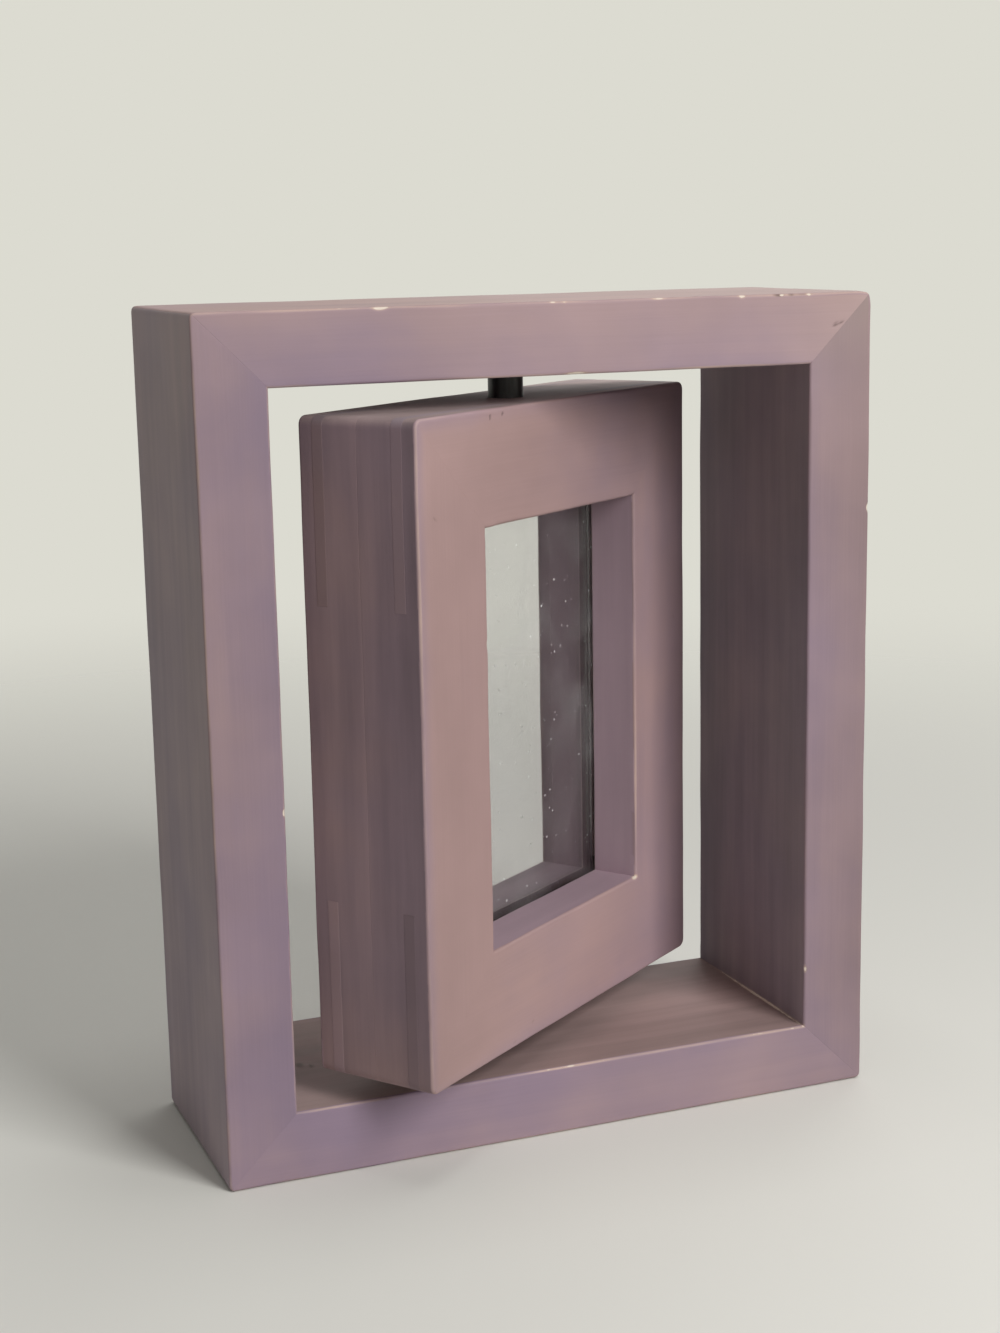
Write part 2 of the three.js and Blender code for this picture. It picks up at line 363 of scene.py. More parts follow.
def shares_of(length: float, step: float, marks: Iterable[float] = ()) -> Array:
    """Columns of a leg as shares of its length: even ones, one near each end, and marks.

    Args:
        length: length of the leg.
        step: distance wanted between even columns.
        marks: distances from the leg's start that need a column of their own.

    Returns:
        The shares, rising, without 0 and 1.
    """
    fixed = np.array([MARGIN, length - MARGIN, *marks])
    even = np.linspace(0.0, length, max(2, round(length / step) + 1))
    even = even[np.abs(even[:, None] - fixed).min(axis=1) > CROWDED_COLUMN]
    places = np.unique(np.concatenate([even, fixed]).round(4))
    return places[(places > HAIR) & (places < length - HAIR)] / length


def carried(corners: Sequence[Corner], rows: int) -> Columns:
    """Rounds a section's corners and fills its legs, at every row of a member at once.

    With a and b the unit vectors from a corner C back and on along its legs, its arris is
    C + r (a (1 - sin t) + b (1 - cos t)) for t from 0 to a quarter turn, which touches both
    legs. Columns between two arrises lie on the straight line that joins them.

    Args:
        corners: the section's corners in order, front face first and then outwards.
        rows: number of rows along the member.

    Returns:
        The section's columns.
    """
    flat = np.zeros(rows)
    tips = np.stack([np.stack(np.broadcast_arrays(c.depth, c.rise, flat)[:2], -1) for c in corners])
    back, on = np.roll(tips, 1, axis=0) - tips, np.roll(tips, -1, axis=0) - tips
    back, on = (w / np.maximum(np.linalg.norm(w, axis=-1, keepdims=True), HAIR) for w in (back, on))
    arcs, humps = [], []
    for tip, a, b, corner in zip(tips, back, on, corners):
        turn = np.linspace(0.0, pi / 2, corner.facets + 1)
        radius = np.broadcast_to(corner.radius, rows)[:, None, None]
        lean = a[:, None] * (1 - np.sin(turn))[:, None] + b[:, None] * (1 - np.cos(turn))[:, None]
        arcs.append(tip[:, None] + radius * lean)
        humps.append(np.sin(2.0 * turn))
    places, arris, leg = [], [], []
    for number, (corner, arc, following) in enumerate(zip(corners, arcs, arcs[1:] + arcs[:1])):
        start, stop = arc[:, -1:], following[:, :1]
        places += [arc, start + corner.shares[:, None] * (stop - start)]
        arris += [humps[number], np.zeros(len(corner.shares))]
        leg += [np.full(arc.shape[1], -1), np.full(len(corner.shares), number)]
    return Columns(np.concatenate(places, axis=1), np.concatenate(arris), np.concatenate(leg))


@dataclass(frozen=True)
class Mitre:
    """How a member, made as the top one, runs out to the mitres at its two ends."""

    half: float  # half of its length over the frame's outside
    width: float  # from its sight edge to its outside
    corner: float  # radius of the frame's outside corners
    square: float  # half of the stretch in the middle where rows stand square to it

    GROOVE = 0.008  # depth of the fine groove that shows at the joint
    GROOVE_REACH = 0.12  # from the joint
    END_ROWS = np.array([0.06, 0.14, 0.26, 0.45, 0.8])  # from each end, which draw the groove

    def rows(self, marks: Sequence[float] = ()) -> Array:
        """Places of the rows along the outside: even ones, and marks on both sides of 0.

        Args:
            marks: distances from the middle that need a row of their own.

        Returns:
            The places, rising.
        """
        fixed = np.concatenate([self.half - self.END_ROWS, marks, [self.half]])
        fixed = np.concatenate([-fixed, fixed])
        even = np.linspace(-self.half, self.half, round(2.0 * self.half / ROW_STEP) + 1)
        even = even[np.abs(even[:, None] - fixed).min(axis=1) > CROWDED_ROW]
        return np.unique(np.concatenate([even, fixed]).round(4))

    def fan(self, rows: Array) -> Array:
        """Share of the mitre's lean that each row has: 0 in the middle, 1 at both ends."""
        return np.clip((np.abs(rows) - self.square) / (self.half - self.square), 0.0, 1.0)

    def lay(self, rows: Array, places: Array, depth: float) -> Array:
        """Carries a section along the member, out to its mitres.

        A row at t leans by its fan q, so x = t - q (width - rise). Near an end the section
        shrinks a little, which leaves the groove. In the square of the outside corner,
        with a and b the distances past the corner's centre, the point (a, b) is drawn in
        to (a, b) max(a, b) / |(a, b)|, which turns the square into a quarter round.

        Args:
            rows: places of the rows.
            places: depth and rise by row and column.
            depth: depth of the section's middle.

        Returns:
            Points by row, column and axis, with the sight edge at height zero.
        """
        to_end = (self.half - np.abs(rows)) / self.GROOVE_REACH
        shrink = 1.0 - 2.0 * self.GROOVE / self.width * np.exp(-(to_end**2))[:, None]
        depths = depth + (places[..., 0] - depth) * shrink
        rise = 0.5 * self.width + (places[..., 1] - 0.5 * self.width) * shrink
        away = np.abs(rows)[:, None] - self.fan(rows)[:, None] * (self.width - rise + HAIR)
        a = away - (self.half - self.corner)
        b = rise - (self.width - self.corner)
        round_off = np.maximum(a, b) / np.maximum(np.hypot(a, b), HAIR)
        drawn = np.where((a > 0.0) & (b > 0.0), round_off, 1.0)
        away = self.half - self.corner + a * drawn
        rise = self.width - self.corner + b * drawn
        return np.stack([np.sign(rows)[:, None] * away, depths, rise], axis=-1)


def linear(colour: str) -> tuple[float, float, float, float]:
    """An sRGB hex colour as linear RGBA.

    Args:
        colour: six hex digits after a hash.

    Returns:
        Each part s as s / 12.92 below 0.04045, and as ((s + 0.055) / 1.055)^2.4 above.
    """
    parts = np.array([int(colour[i : i + 2], 16) for i in (1, 3, 5)]) / 255.0
    bent = np.where(parts <= 0.04045, parts / 12.92, ((parts + 0.055) / 1.055) ** 2.4)
    return (*bent.tolist(), 1.0)


def node(tree: bpy.types.NodeTree, kind: str, inputs: dict | None = None, **settings: object) -> Node:
    """Adds a node, sets it and links it.

    Args:
        tree: tree that takes the node.
        kind: Blender's identifier of its type, after ShaderNode.
        inputs: for each input by name or number, a value, another node's output, or a node
            whose first output in use is meant.
        settings: properties of the node itself.

    Returns:
        The new node.
    """
    made = tree.nodes.new(f"ShaderNode{kind}")
    for key, value in settings.items():
        setattr(made, key, value)
    for key, value in (inputs or {}).items():
        if isinstance(value, Node):
            value = next(output for output in value.outputs if output.enabled)
        if isinstance(value, bpy.types.NodeSocket):
            tree.links.new(value, made.inputs[key])
        else:
            made.inputs[key].default_value = value
    return made


def new_tree(owner: Material | bpy.types.World) -> bpy.types.NodeTree:
    """Gives a new material or world an empty node tree.

    Args:
        owner: the material or world.

    Returns:
        The tree.
    """
    owner.use_nodes = True
    owner.node_tree.nodes.clear()
    return owner.node_tree


def streaks(add: Add, size: Pair, detail: float) -> Node:
    """Noise drawn out along a piece on its brush map.

    Args:
        add: adds a node to the material's tree.
        size: length and width of one streak.
        detail: octaves of the noise.

    Returns:
        The noise.
    """
    scale = (1.0 / (size[0] * MM), 1.0 / (size[1] * MM), 1.0)
    laid = add("Mapping", {"Vector": add("UVMap", uv_map=BRUSH_MAP), "Scale": scale})
    return add("TexNoise", {"Vector": laid, "Scale": 1.0, "Detail": detail}, noise_dimensions="2D")


@dataclass(frozen=True)
class Finish:
    """What a surface is made of and how it was made; each kind draws its own nodes."""

    name: str

    def draw(self, add: Add) -> dict[str, Node]:
        """The finish's shaders, by the socket of the output that each goes to."""
        raise NotImplementedError

    def material(self) -> Material:
        """Makes the finish's material and draws its nodes.

        Returns:
            The material.
        """
        made = bpy.data.materials.new(self.name)
        tree = new_tree(made)
        node(tree, "OutputMaterial", self.draw(partial(node, tree)))
        return made


@dataclass(frozen=True)
class BrushedEggshell(Finish):
    """Eggshell paint brushed by hand over cream primer, in two thin coats of two shades.

    To the eye that is a soft sheen, bristle lines and lap marks along each member, a drift
    between lilac and dusty pink where the top coat is thin, paler arrises, and primer
    where an edge was knocked. In places the members' attributes also paint light and shade
    into its colour.
    """

    lilac: str
    pink: str
    undercoat: str = "#CCB09D"
    primer: str = "#DCCFC0"
    # colour of dirt, and of the painted shade in the panes' groove
    dirt: str = "#3E2F2A"
    roughness: float = 0.66
    sheen: float = 0.3  # chalky paint has a weaker one than gloss, at 0.5
    # Real sizes, in mm: one cloud of colour, one lap of the brush and one bristle line,
    # both as length by width, one flake of lost paint, the distance between specks, and the
    # height of a bristle line.
    # Bristle lines are nearer 0.3 mm wide, and are drawn twice as coarse so that they show.
    cloud: float = 45.0
    lap: Pair = (80.0, 6.0)
    bristle: Pair = (45.0, 0.6)
    flake: float = 3.0
    speck: float = 26.0
    film: float = 0.016
    pink_by: Pair = (1.2, 0.3)  # how far clouds and laps move the share of pink
    bright_by: Triple = (0.06, 0.3, 0.35)  # how far bristles, clouds and laps move the brightness
    speck_width: float = 0.012  # of the widest, as a share of the distance between them
    speck_share: float = 0.5  # how strongly they show
    flake_by: float = 0.9  # how far noise moves the wear at which paint is gone
    matt_by: Pair = (0.16, 0.25)  # roughness that laps and flakes add
    film_by: Pair = (1.5, -3.0)  # and height, in bristle lines

    def draw(self, add: Add) -> dict[str, Node]:
        """Lays the two coats with their brush marks, then dirt and painted shade, then flakes down to the
        primer.

        Args:
            add: adds a node to the material's tree.

        Returns:
            The paint's shader.
        """
        space = add("TexCoord").outputs["Object"]
        wear, grime, tone, thin, fade, streaky = (
            add("Attribute", attribute_name=name).outputs["Fac"]
            for name in ("wear", "grime", "tone", "thin", "fade", "streaky")
        )
        laps, bristles = (streaks(add, size, 3.0) for size in (self.lap, self.bristle))
        # Clouds run on across the joints: one colour channel drifts the shade, one the depth
        scale = 1.0 / (self.cloud * MM)
        clouds = add("TexNoise", {"Vector": space, "Scale": scale, "Detail": 3.0, "Roughness": 0.55})
        shade, deep, _ = add("SeparateColor", {"Color": clouds.outputs["Color"]}).outputs

        # Share of pink: half and half on average, by clouds, laps and how thin the top coat is
        share = add("Math", {0: shade, 1: self.pink_by[0], 2: thin}, operation="MULTIPLY_ADD")
        share = add("Math", {0: laps, 1: self.pink_by[1], 2: share}, operation="MULTIPLY_ADD")
        ends = {"Value": share, "From Min": 0.15, "From Max": 1.35}
        share = add("MapRange", ends, interpolation_type="SMOOTHSTEP")
        coat = add("Mix", {0: share, 6: linear(self.lilac), 7: linear(self.pink)}, data_type="RGBA")
        worn = add("MapRange", {"Value": wear, "From Min": 0.1, "From Max": 0.6, "To Max": 0.65})
        coat = add("Mix", {0: worn, 6: coat, 7: linear(self.undercoat)}, data_type="RGBA")

        # Brightness: 1 on average, by bristles, clouds, laps and the member's own tone, which holds painted
        # light and shade in places
        by_bristle, by_cloud, by_lap = self.bright_by
        clouded = add("Math", {0: deep, 1: 0.5}, operation="SUBTRACT")
        lapped = add("Math", {0: laps, 1: 0.5}, operation="SUBTRACT")
        lapped = add("Math", {0: lapped, 1: streaky}, operation="MULTIPLY")
        even = 1.0 - by_bristle / 2
        bright = add("Math", {0: bristles, 1: by_bristle, 2: even}, operation="MULTIPLY_ADD")
        for source, amount in ((clouded, by_cloud), (lapped, by_lap), (tone, 1.0)):
            bright = add("Math", {0: source, 1: amount, 2: bright}, operation="MULTIPLY_ADD")
        kept = add("Math", {0: 1.0, 1: fade}, operation="SUBTRACT")
        toned = add("HueSaturation", {"Color": coat, "Saturation": kept, "Value": bright})

        # Specks: small dark dots in about half of the cells, whose colour sets their size
        cells = add("TexVoronoi", {"Vector": space, "Scale": 1.0 / (self.speck * MM)})
        sized = {0: cells.outputs["Color"], 1: self.speck_width, 2: -self.speck_width / 2}
        dot = {0: cells, 1: add("Math", sized, operation="MULTIPLY_ADD")}
        # Dirt, and the painted shade in the panes' groove, come in from the member's attribute
        dirt_and_shade_share = {0: add("Math", dot, operation="LESS_THAN"), 1: self.speck_share, 2: grime}
        dirt_and_shade_share = add("Math", dirt_and_shade_share, operation="MULTIPLY_ADD", use_clamp=True)
        dirt_and_shade_mixed = add("Mix", {0: dirt_and_shade_share, 6: toned, 7: linear(self.dirt)}, data_type="RGBA")

        # Flakes: the wear attribute sets how likely paint is gone, and noise breaks its edge
        scale = 1.0 / (self.flake * MM)
        grain = add("TexNoise", {"Vector": space, "Scale": scale, "Detail": 4.0, "Roughness": 0.6})
        likely = add("Math", {0: grain, 1: self.flake_by, 2: wear}, operation="MULTIPLY_ADD")
        gone = add("MapRange", {"Value": likely, "From Min": 1.04, "From Max": 1.12})
        colour = add("Mix", {0: gone, 6: dirt_and_shade_mixed, 7: linear(self.primer)}, data_type="RGBA")

        by_lap, by_flake = self.matt_by
        even = self.roughness - by_lap / 2
        rough = add("Math", {0: laps, 1: by_lap, 2: even}, operation="MULTIPLY_ADD")
        rough = add("Math", {0: gone, 1: by_flake, 2: rough}, operation="MULTIPLY_ADD")
        by_lap, by_flake = self.film_by
        film = add("Math", {0: laps, 1: by_lap, 2: bristles}, operation="MULTIPLY_ADD")
        film = add("Math", {0: gone, 1: by_flake, 2: film}, operation="MULTIPLY_ADD")
        paint = {
            "Base Color": colour,
            "Roughness": rough,
            "Specular IOR Level": self.sheen,
            "Normal": add("Bump", {"Distance": self.film * MM, "Height": film}),
        }
        return {"Surface": add("BsdfPrincipled", paint)}


@dataclass(frozen=True)
class BlackedDowel(Finish):
    """Beech dowel, stained black and waxed.

    To the eye that is a near-black satin with fine, slightly browner grain lines running
    along the dowel.
    """

    stain: str
    grain: str
    roughness: float = 0.38
    line: Pair = (14.0, 0.45)  # mm, length by width of a grain line
    line_matt: float = 0.2  # roughness that a line adds
    relief: float = 0.02  # mm

    def draw(self, add: Add) -> dict[str, Node]:
        """Lays the stain, with the grain's lines browner, duller and lower.

        Args:
            add: adds a node to the material's tree.

        Returns:
            The wood's shader.
        """
        streak = streaks(add, self.line, 4.0)
        opened = add("MapRange", {"Value": streak, "From Min": 0.45, "From Max": 0.75})
        tints = {0: opened, 6: linear(self.stain), 7: linear(self.grain)}
        dull = {0: opened, 1: self.line_matt, 2: self.roughness}
        wood = {
            "Base Color": add("Mix", tints, data_type="RGBA"),
            "Roughness": add("Math", dull, operation="MULTIPLY_ADD"),
            "IOR": 1.5,
            "Normal": add("Bump", {"Distance": self.relief * MM, "Height": streak}),
        }
        return {"Surface": add("BsdfPrincipled", wood)}


@dataclass(frozen=True)
class PressedBeech(Finish):
    """Pressed beech, as biscuits are made of: bare, dull, with diagonal grain and flecks."""

    wood: str
    fleck: str
    roughness: float = 0.7
    line: Triple = (9.0, 9.0, 0.5)  # mm, size of a fleck along x, y and z
    slant: float = radians(45.0)
    relief: float = 0.05  # mm

    def draw(self, add: Add) -> dict[str, Node]:
        """Lays flecks at a slant over the wood.

        Args:
            add: adds a node to the material's tree.

        Returns:
            The wood's shader.
        """
        space = add("TexCoord").outputs["Object"]
        scale = tuple(1.0 / (size * MM) for size in self.line)
        turned = {"Vector": space, "Scale": scale, "Rotation": (0.0, self.slant, 0.0)}
        streak = add("TexNoise", {"Vector": add("Mapping", turned), "Scale": 1.0, "Detail": 3.0})
        tints = {0: streak, 6: linear(self.wood), 7: linear(self.fleck)}
        wood = {
            "Base Color": add("Mix", tints, data_type="RGBA"),
            "Roughness": self.roughness,
            "Normal": add("Bump", {"Distance": self.relief * MM, "Height": streak}),
        }
        return {"Surface": add("BsdfPrincipled", wood)}


@dataclass(frozen=True)
class DustyFloatGlass(Finish):
    """Float glass, 3 mm, cut and seamed, dusty from a shelf.

    To the eye that is a clear pane with a faint green in its depth, a thin uneven veil of
    dust and smears, and a few pale specks.
    """

    tint: str
    roughness: float = 0.03
    density: float = 4.0  # of the green, per metre
    smear: float = 16.0  # mm across one smear
    speck: float = 7.0  # mm between specks
    # A speck's radius, as a share of that, is a c + b in a cell of colour c: a and b
    speck_size: Pair = (0.118, -0.06)
    speck_share: float = -0.55  # what a speck adds to the light that passes
    faces_apart: float = 37.0  # shift of the specks with depth, so that each face has its own

    def draw(self, add: Add) -> dict[str, Node]:
        """Lays a veil on the glass, and specks in the pane's own plane, along it and up.

        Args:
            add: adds a node to the material's tree.

        Returns:
            The glass's shader, and that of the green in its depth.
        """
        space = add("TexCoord").outputs["Object"]
        scale = 1.0 / (self.smear * MM)
        smears = {"Vector": space, "Scale": scale, "Detail": 4.0, "Distortion": 0.6}
        veil = {
            "Value": add("TexNoise", smears), "From Min": 0.46, "From Max": 0.78,
            "To Min": 0.999, "To Max": 0.945,
        }
        c, s = cos(REST_TURN), sin(REST_TURN)
        way = (c - self.faces_apart * s, s + self.faces_apart * c, 0.0)
        flat = {
            "X": add("VectorMath", {0: space, 1: way}, operation="DOT_PRODUCT"),
            "Y": add("SeparateXYZ", {0: space}).outputs["Z"],
        }
        spread = {"Vector": add("CombineXYZ", flat), "Scale": 1.0 / (self.speck * MM)}
        cells = add("TexVoronoi", spread, voronoi_dimensions="2D")
        sized = {0: cells.outputs["Color"], 1: self.speck_size[0], 2: self.speck_size[1]}
        dot = {0: cells, 1: add("Math", sized, operation="MULTIPLY_ADD")}
        dotted = {0: add("Math", dot, operation="LESS_THAN"), 1: self.speck_share, 2: add("MapRange", veil)}
        glass = {
            "Base Color": linear("#FFFFFF"),
            "Roughness": self.roughness,
            "IOR": 1.52,
            "Transmission Weight": add("Math", dotted, operation="MULTIPLY_ADD"),
        }
        green = {"Color": linear(self.tint), "Density": self.density}
        return {"Surface": add("BsdfPrincipled", glass), "Volume": add("VolumeAbsorption", green)}


def fit(surface: Surface, name: str, finish: Material, body: str, slot: str, stands_for: str) -> None:
    """Makes a new piece, gives it its finish and its body, and hides the CAD node that it stands for.

    Args:
        surface: the piece, in place.
        name: its name.
        finish: its material.
        body: CAD body that it moves with.
        slot: the record's material slot that it takes its finish from; not used.
        stands_for: CAD node that it replaces.
    """
    piece = surface.to_object(name)
    piece.data.materials.append(finish)
    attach(piece, body)
    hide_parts(stands_for)
    LOG.info("%s: %d faces, rides on %s", name, len(piece.data.polygons), body)


def dress(names: Iterable[str], finish: Material) -> None:
    """Gives CAD nodes that keep their shape a finish.

    Args:
        names: the nodes.
        finish: their material.
    """
    for name in names:
        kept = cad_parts[name]
        kept.data.materials.clear()
        kept.data.materials.append(finish)
        LOG.info("%s: CAD shape kept, finish %s", name, finish.name)


@dataclass
class OuterFrame:
    """The standing frame: four mitred boards, with a dowel in the top and bottom ones."""

    width: float = 197.0
    height: float = 236.0
    depth: float = 68.5
    board: float = 19.7
    arris: float = 0.8
    arris_spread: float = 0.15  # share of it by which sanding varies it
    corner: float = 1.5
    leaning: float = 10.0  # from the sight corner, where rows begin to lean to the mitre
    steps: Triple = (0.65, 1.5, 2.6)  # between columns on the faces, the outside and the sight face
    bore: float = 5.1
    bore_depth: float = 12.0
    bore_patch: float = 9.0  # half of the square of columns that bends round the bore
    bore_step: float = 0.75  # between them
    dowel: float = 5.0
    dowel_length: float = 31.3
    dowel_start: float = -11.75  # from the sight face
    dowel_chamfer: float = 0.8
    dowel_facets: int = 96
    dowel_rows: int = 24  # between its ends
    dowel_end: float = 2.0  # from each end to the first of them
    # How much lighter the paint is than average: in the middle of the rails, at the top
    # above that, halfway up the stiles, and what is added at the
    # bottom right corner
    tone: float = 0.01
    tone_up: float = -0.03
    tone_held: float = -0.13
    tone_low: float = -0.1
    # How much thinner the top coat is: outside than at the sight edge, at the right than in
    # the middle, at the top than in the middle, and on the bottom board's sight face, where
    # things stood
    thin_spread: float = 0.4
    thin_right: float = 0.17
    thin_up: float = 0.2
    shelf_thin: float = 0.8
    shelf_tone: float = -0.33  # painted shade: that face is darker all over, as under the picture frame's shadow
    shelf_patch: float = 0.36  # painted light: this much is given back in a patch where light falls through the opening
    patch_at: Pair = (46.0, 1.0)
    patch_reach: Pair = (30.0, 15.0)
    rubbed_flats: float = 0.27  # wear of that face, and of the top, where it is dusted
    rubbed_end: float = 0.27  # wear of the top board's faces at their right end
    right_rubbed: float = 0.3  # share of the others' wear that the right board's arrises have
    right_tone: float = -0.14  # painted shade: what is added across its faces to their outside
    right_fade: float = 0.15  # colour that its faces have lost at the top
    right_worn: float = 0.34  # and their wear there
    right_high: float = -0.18  # and what is added to their tone
    outside_fade: float = 0.3  # colour that the stiles' outside and sight faces have lost
    outside_grey: float = 0.12  # and how much paler dust has made the outside
    face_streaks: float = 0.15  # share of the lap marks that shows on the front and back
    knocks: tuple[Knock, ...] = (
        # front top arris, from left to right
        Knock((-48.2, -34.2, 118.0), (0, 1, -1), (3.2, 1.3, 1.4), 0.35),
        Knock((0.5, -34.2, 118.0), (0, 1, -1), (1.8, 0.8, 0.8), 0.12, share=0.7),
        Knock((3.8, -34.2, 118.0), (0, 1, -1), (1.2, 0.8, 0.8), 0.12, share=0.7),
        Knock((31.5, -34.2, 118.0), (0, 1, -1), (3.4, 0.9, 0.9), 0.12, share=0.7),
        # near its right end: two white chips, and a row of crumbled paint between them
        Knock((57.1, -34.2, 118.0), (0, 1, -1), (1.5, 1.3, 1.3), 0.3),
        Knock((68.6, -34.2, 118.0), (0, 1, -1), (2.4, 1.1, 1.1), 0.3, Mark.GRIME, 0.9),
        Knock((69.7, -34.2, 118.0), (0, 1, -1), (0.9, 0.9, 0.9), 0.1),
        Knock((72.6, -34.2, 118.0), (0, 1, -1), (1.5, 1.0, 1.0), 0.25, Mark.GRIME, 0.8),
        Knock((76.0, -34.2, 118.0), (0, 1, -1), (4.0, 0.8, 0.8), 0.12, Mark.GRIME, 0.5),
        Knock((78.3, -34.2, 118.0), (0, 1, -1), (1.2, 1.1, 1.1), 0.3),
        # right-hand and sight arrises
        Knock((98.4, -34.2, 56.4), (-1, 1, 0), (1.1, 1.1, 1.8), 0.35),
        Knock((7.0, -34.2, 98.3), (0, 1, 1), (5.0, 1.0, 1.0), 0.2),
        Knock((-78.9, -34.2, -13.6), (-1, 1, 0), (1.0, 1.0, 1.7), 0.3),
        Knock((79.0, -34.2, -80.5), (1, 1, 0), (0.9, 0.9, 1.5), 0.2),
        # primer along the joint inside the bottom right corner
        Knock((78.8, -8.0, -98.3), (0, 0, -1), (1.1, 44.0, 0.9), 0.0, share=0.8),
        # the bottom board's sight arris, rubbed to the primer in places
        Knock((25.0, -34.2, -98.3), (0, 1, -1), (75.0, 1.0, 1.0), 0.0, share=0.25),
        # the top right corner, worn round
        Knock((98.6, -34.2, 118.2), (-1, 0.7, -1), (4.5, 5.5, 4.5), 0.5, share=0.0),
        # two dents beside the top right mitre, and crumbs of dirt on the bottom board
        Knock((86.9, -34.25, 109.0), (0, 1, 0), (1.1, 0.8, 0.9), 0.25, Mark.GRIME, 0.7),
        Knock((88.7, -34.25, 109.6), (0, 1, 0), (0.8, 0.8, 0.7), 0.25, Mark.GRIME, 0.7),
        Knock((-68.3, -1.5, -98.3), (0, 0, -1), (1.8, 3.0, 0.6), -0.12, Mark.GRIME, 0.7),
        Knock((-65.5, -3.5, -98.3), (0, 0, -1), (1.2, 2.2, 0.6), -0.10, Mark.GRIME, 0.7),
        Knock((-58.0, -6.5, -98.3), (0, 0, -1), (1.3, 2.0, 0.6), -0.10, Mark.GRIME, 0.7),
    )

    DOWEL_ENDS = np.array([0.0, 0.5, 0.9, 1.0, 1.3])  # rows near each end of a dowel, in chamfers

    def settle(self, surface: Surface) -> Surface:
        """Lifts a surface made about the middle of the opening to its place."""
        surface.points = surface.points + (0.0, 0.0, 0.5 * self.height)
        return surface

    def board_surface(self, side: Side) -> Surface:
        """One board: its section carried along and cut to its mitres.

        On a rail, columns of the sight face within a square round the middle are drawn in
        by max(|x|, |y|) / |(x, y)|, fading to 1 at the edge of the square, so that the
        lines at the bore's radius become its round rim, and those inside drop to its floor.

        Args:
            side: side of the frame that the board is on.

        Returns:
            The board in place about the middle of the opening.
        """
        half = (self.width if side.is_rail else self.height) / 2
        across = (self.height if side.is_rail else self.width) / 2 - self.board
        mitre = Mitre(half, self.board, self.corner, half - self.board - self.leaning)
        rim = (self.bore, self.bore - 2.0 * HAIR) if side.is_rail else ()
        rows = mitre.rows(rim)
        apart = SIDES_APART * side.value
        eased = [sanded(self.arris, self.arris_spread, rows, apart, number) for number in range(4)]
        deep, flat = self.depth / 2, self.depth - 2.0 * self.arris
        face_step, outside_step, sight_step = self.steps
        face = shares_of(self.board - 2.0 * self.arris, face_step)
        outside = shares_of(flat, outside_step)
        bent = np.arange(-self.bore_patch, self.bore_patch + HAIR, self.bore_step)
        marks = np.concatenate([rim, np.negative(rim), bent]) + flat / 2 if side.is_rail else ()
        corners = (
            Corner(-deep, 0.0, eased[0], ARRIS_FACETS, face),
            Corner(-deep, self.board, eased[1], ARRIS_FACETS, outside),
            Corner(deep, self.board, eased[2], ARRIS_FACETS, face),
            Corner(deep, 0.0, eased[3], ARRIS_FACETS, shares_of(flat, sight_step, marks)),
        )
        columns = carried(corners, len(rows))
        points = mitre.lay(rows, columns.places, 0.0)
        if side.is_rail:
            self.cut_bore(points, columns.leg == Leg.SIGHT)
        points = side.carry(points + (0.0, 0.0, across))
        girth = columns.girth() + BRUSH_APART * side.value
        painted = self.board_paint(side, columns, points)
        return Surface(points, side.along(points), girth, painted).worked(self.knocks)

    def board_paint(self, side: Side, columns: Columns, points: Array) -> dict[str, Array]:
        """How the paint of a board has come out and worn, with painted shade and light on some faces, as
        the fields of the class tell.

        Args:
            side: side of the frame that the board is on.
            columns: its section.
            points: its points about the middle of the opening.

        Returns:
            The vertex attributes that the paint reads.
        """
        outside, sight = columns.leg == Leg.OUTSIDE, columns.leg == Leg.SIGHT
        faces = (columns.leg == Leg.FRONT) | (columns.leg == Leg.BACK)
        right, up = points[..., 0] / (self.width / 2), points[..., 2] / (self.height / 2)
        to_right, to_top, to_bottom = (np.clip(part, 0.0, 1.0) for part in (right, up, -up))
        out = columns.places[..., 1] / self.board
        wear = rubbed(columns.arris, points)
        fade = np.zeros(out.shape)
        thin = self.thin_spread * (out - 0.5) + self.thin_right * right + self.thin_up * up
        tone = self.tone + self.tone_up * up + self.tone_low * to_right * to_bottom
        if side is Side.TOP:
            end = self.rubbed_end * to_right**2
            wear = np.maximum(wear, self.rubbed_flats * outside + end * faces)
        elif side is Side.BOTTOM:
            # Painted shade over the sight face, and painted light in a patch where it falls through the
            # opening
            away = (points[..., :2] - self.patch_at) / self.patch_reach
            patch = self.shelf_patch * np.exp(-(away**2).sum(axis=-1))
            wear = np.maximum(wear, self.rubbed_flats * sight)
            tone = tone + (self.shelf_tone + patch) * sight
            thin = np.where(sight, self.shelf_thin, thin)
        else:
            tone = tone + self.tone_held * (1.0 - up**4) + self.outside_grey * outside
            fade = fade + self.outside_fade * (outside | sight)
        if side is Side.RIGHT:
            high = to_top**6 * faces
            wear = np.maximum(wear * self.right_rubbed, self.right_worn * high)
            # Painted shade towards the right board's outside
            tone = tone + self.right_tone * out * (1.0 - to_bottom**4) * ~sight
            tone = tone + self.right_high * high
            fade = fade + self.right_fade * high
        return {
            "wear": wear, "grime": np.zeros(1), "tone": tone, "thin": thin, "fade": fade,
            "streaky": np.where(outside | sight, 1.0, self.face_streaks),
        }

    def cut_bore(self, points: Array, sight_face: Array) -> None:
        """Sinks the dowel's bore into the sight face, as board_surface tells.

        Args:
            points: the rail's points, lying as the top one does; changed in place.
            sight_face: True for the columns of its sight face.
        """
        patch = points[:, sight_face]
        flat = np.abs(patch[..., :2]).max(axis=-1)
        away = np.maximum(np.hypot(patch[..., 0], patch[..., 1]), HAIR)
        fade = np.clip((self.bore_patch - flat) / (self.bore_patch - self.bore), 0.0, 1.0)
        patch[..., :2] *= (1.0 + fade * (flat / away - 1.0))[..., None]
        patch[..., 2] = np.where(flat < self.bore - HAIR, self.bore_depth, patch[..., 2])
        points[:, sight_face] = patch

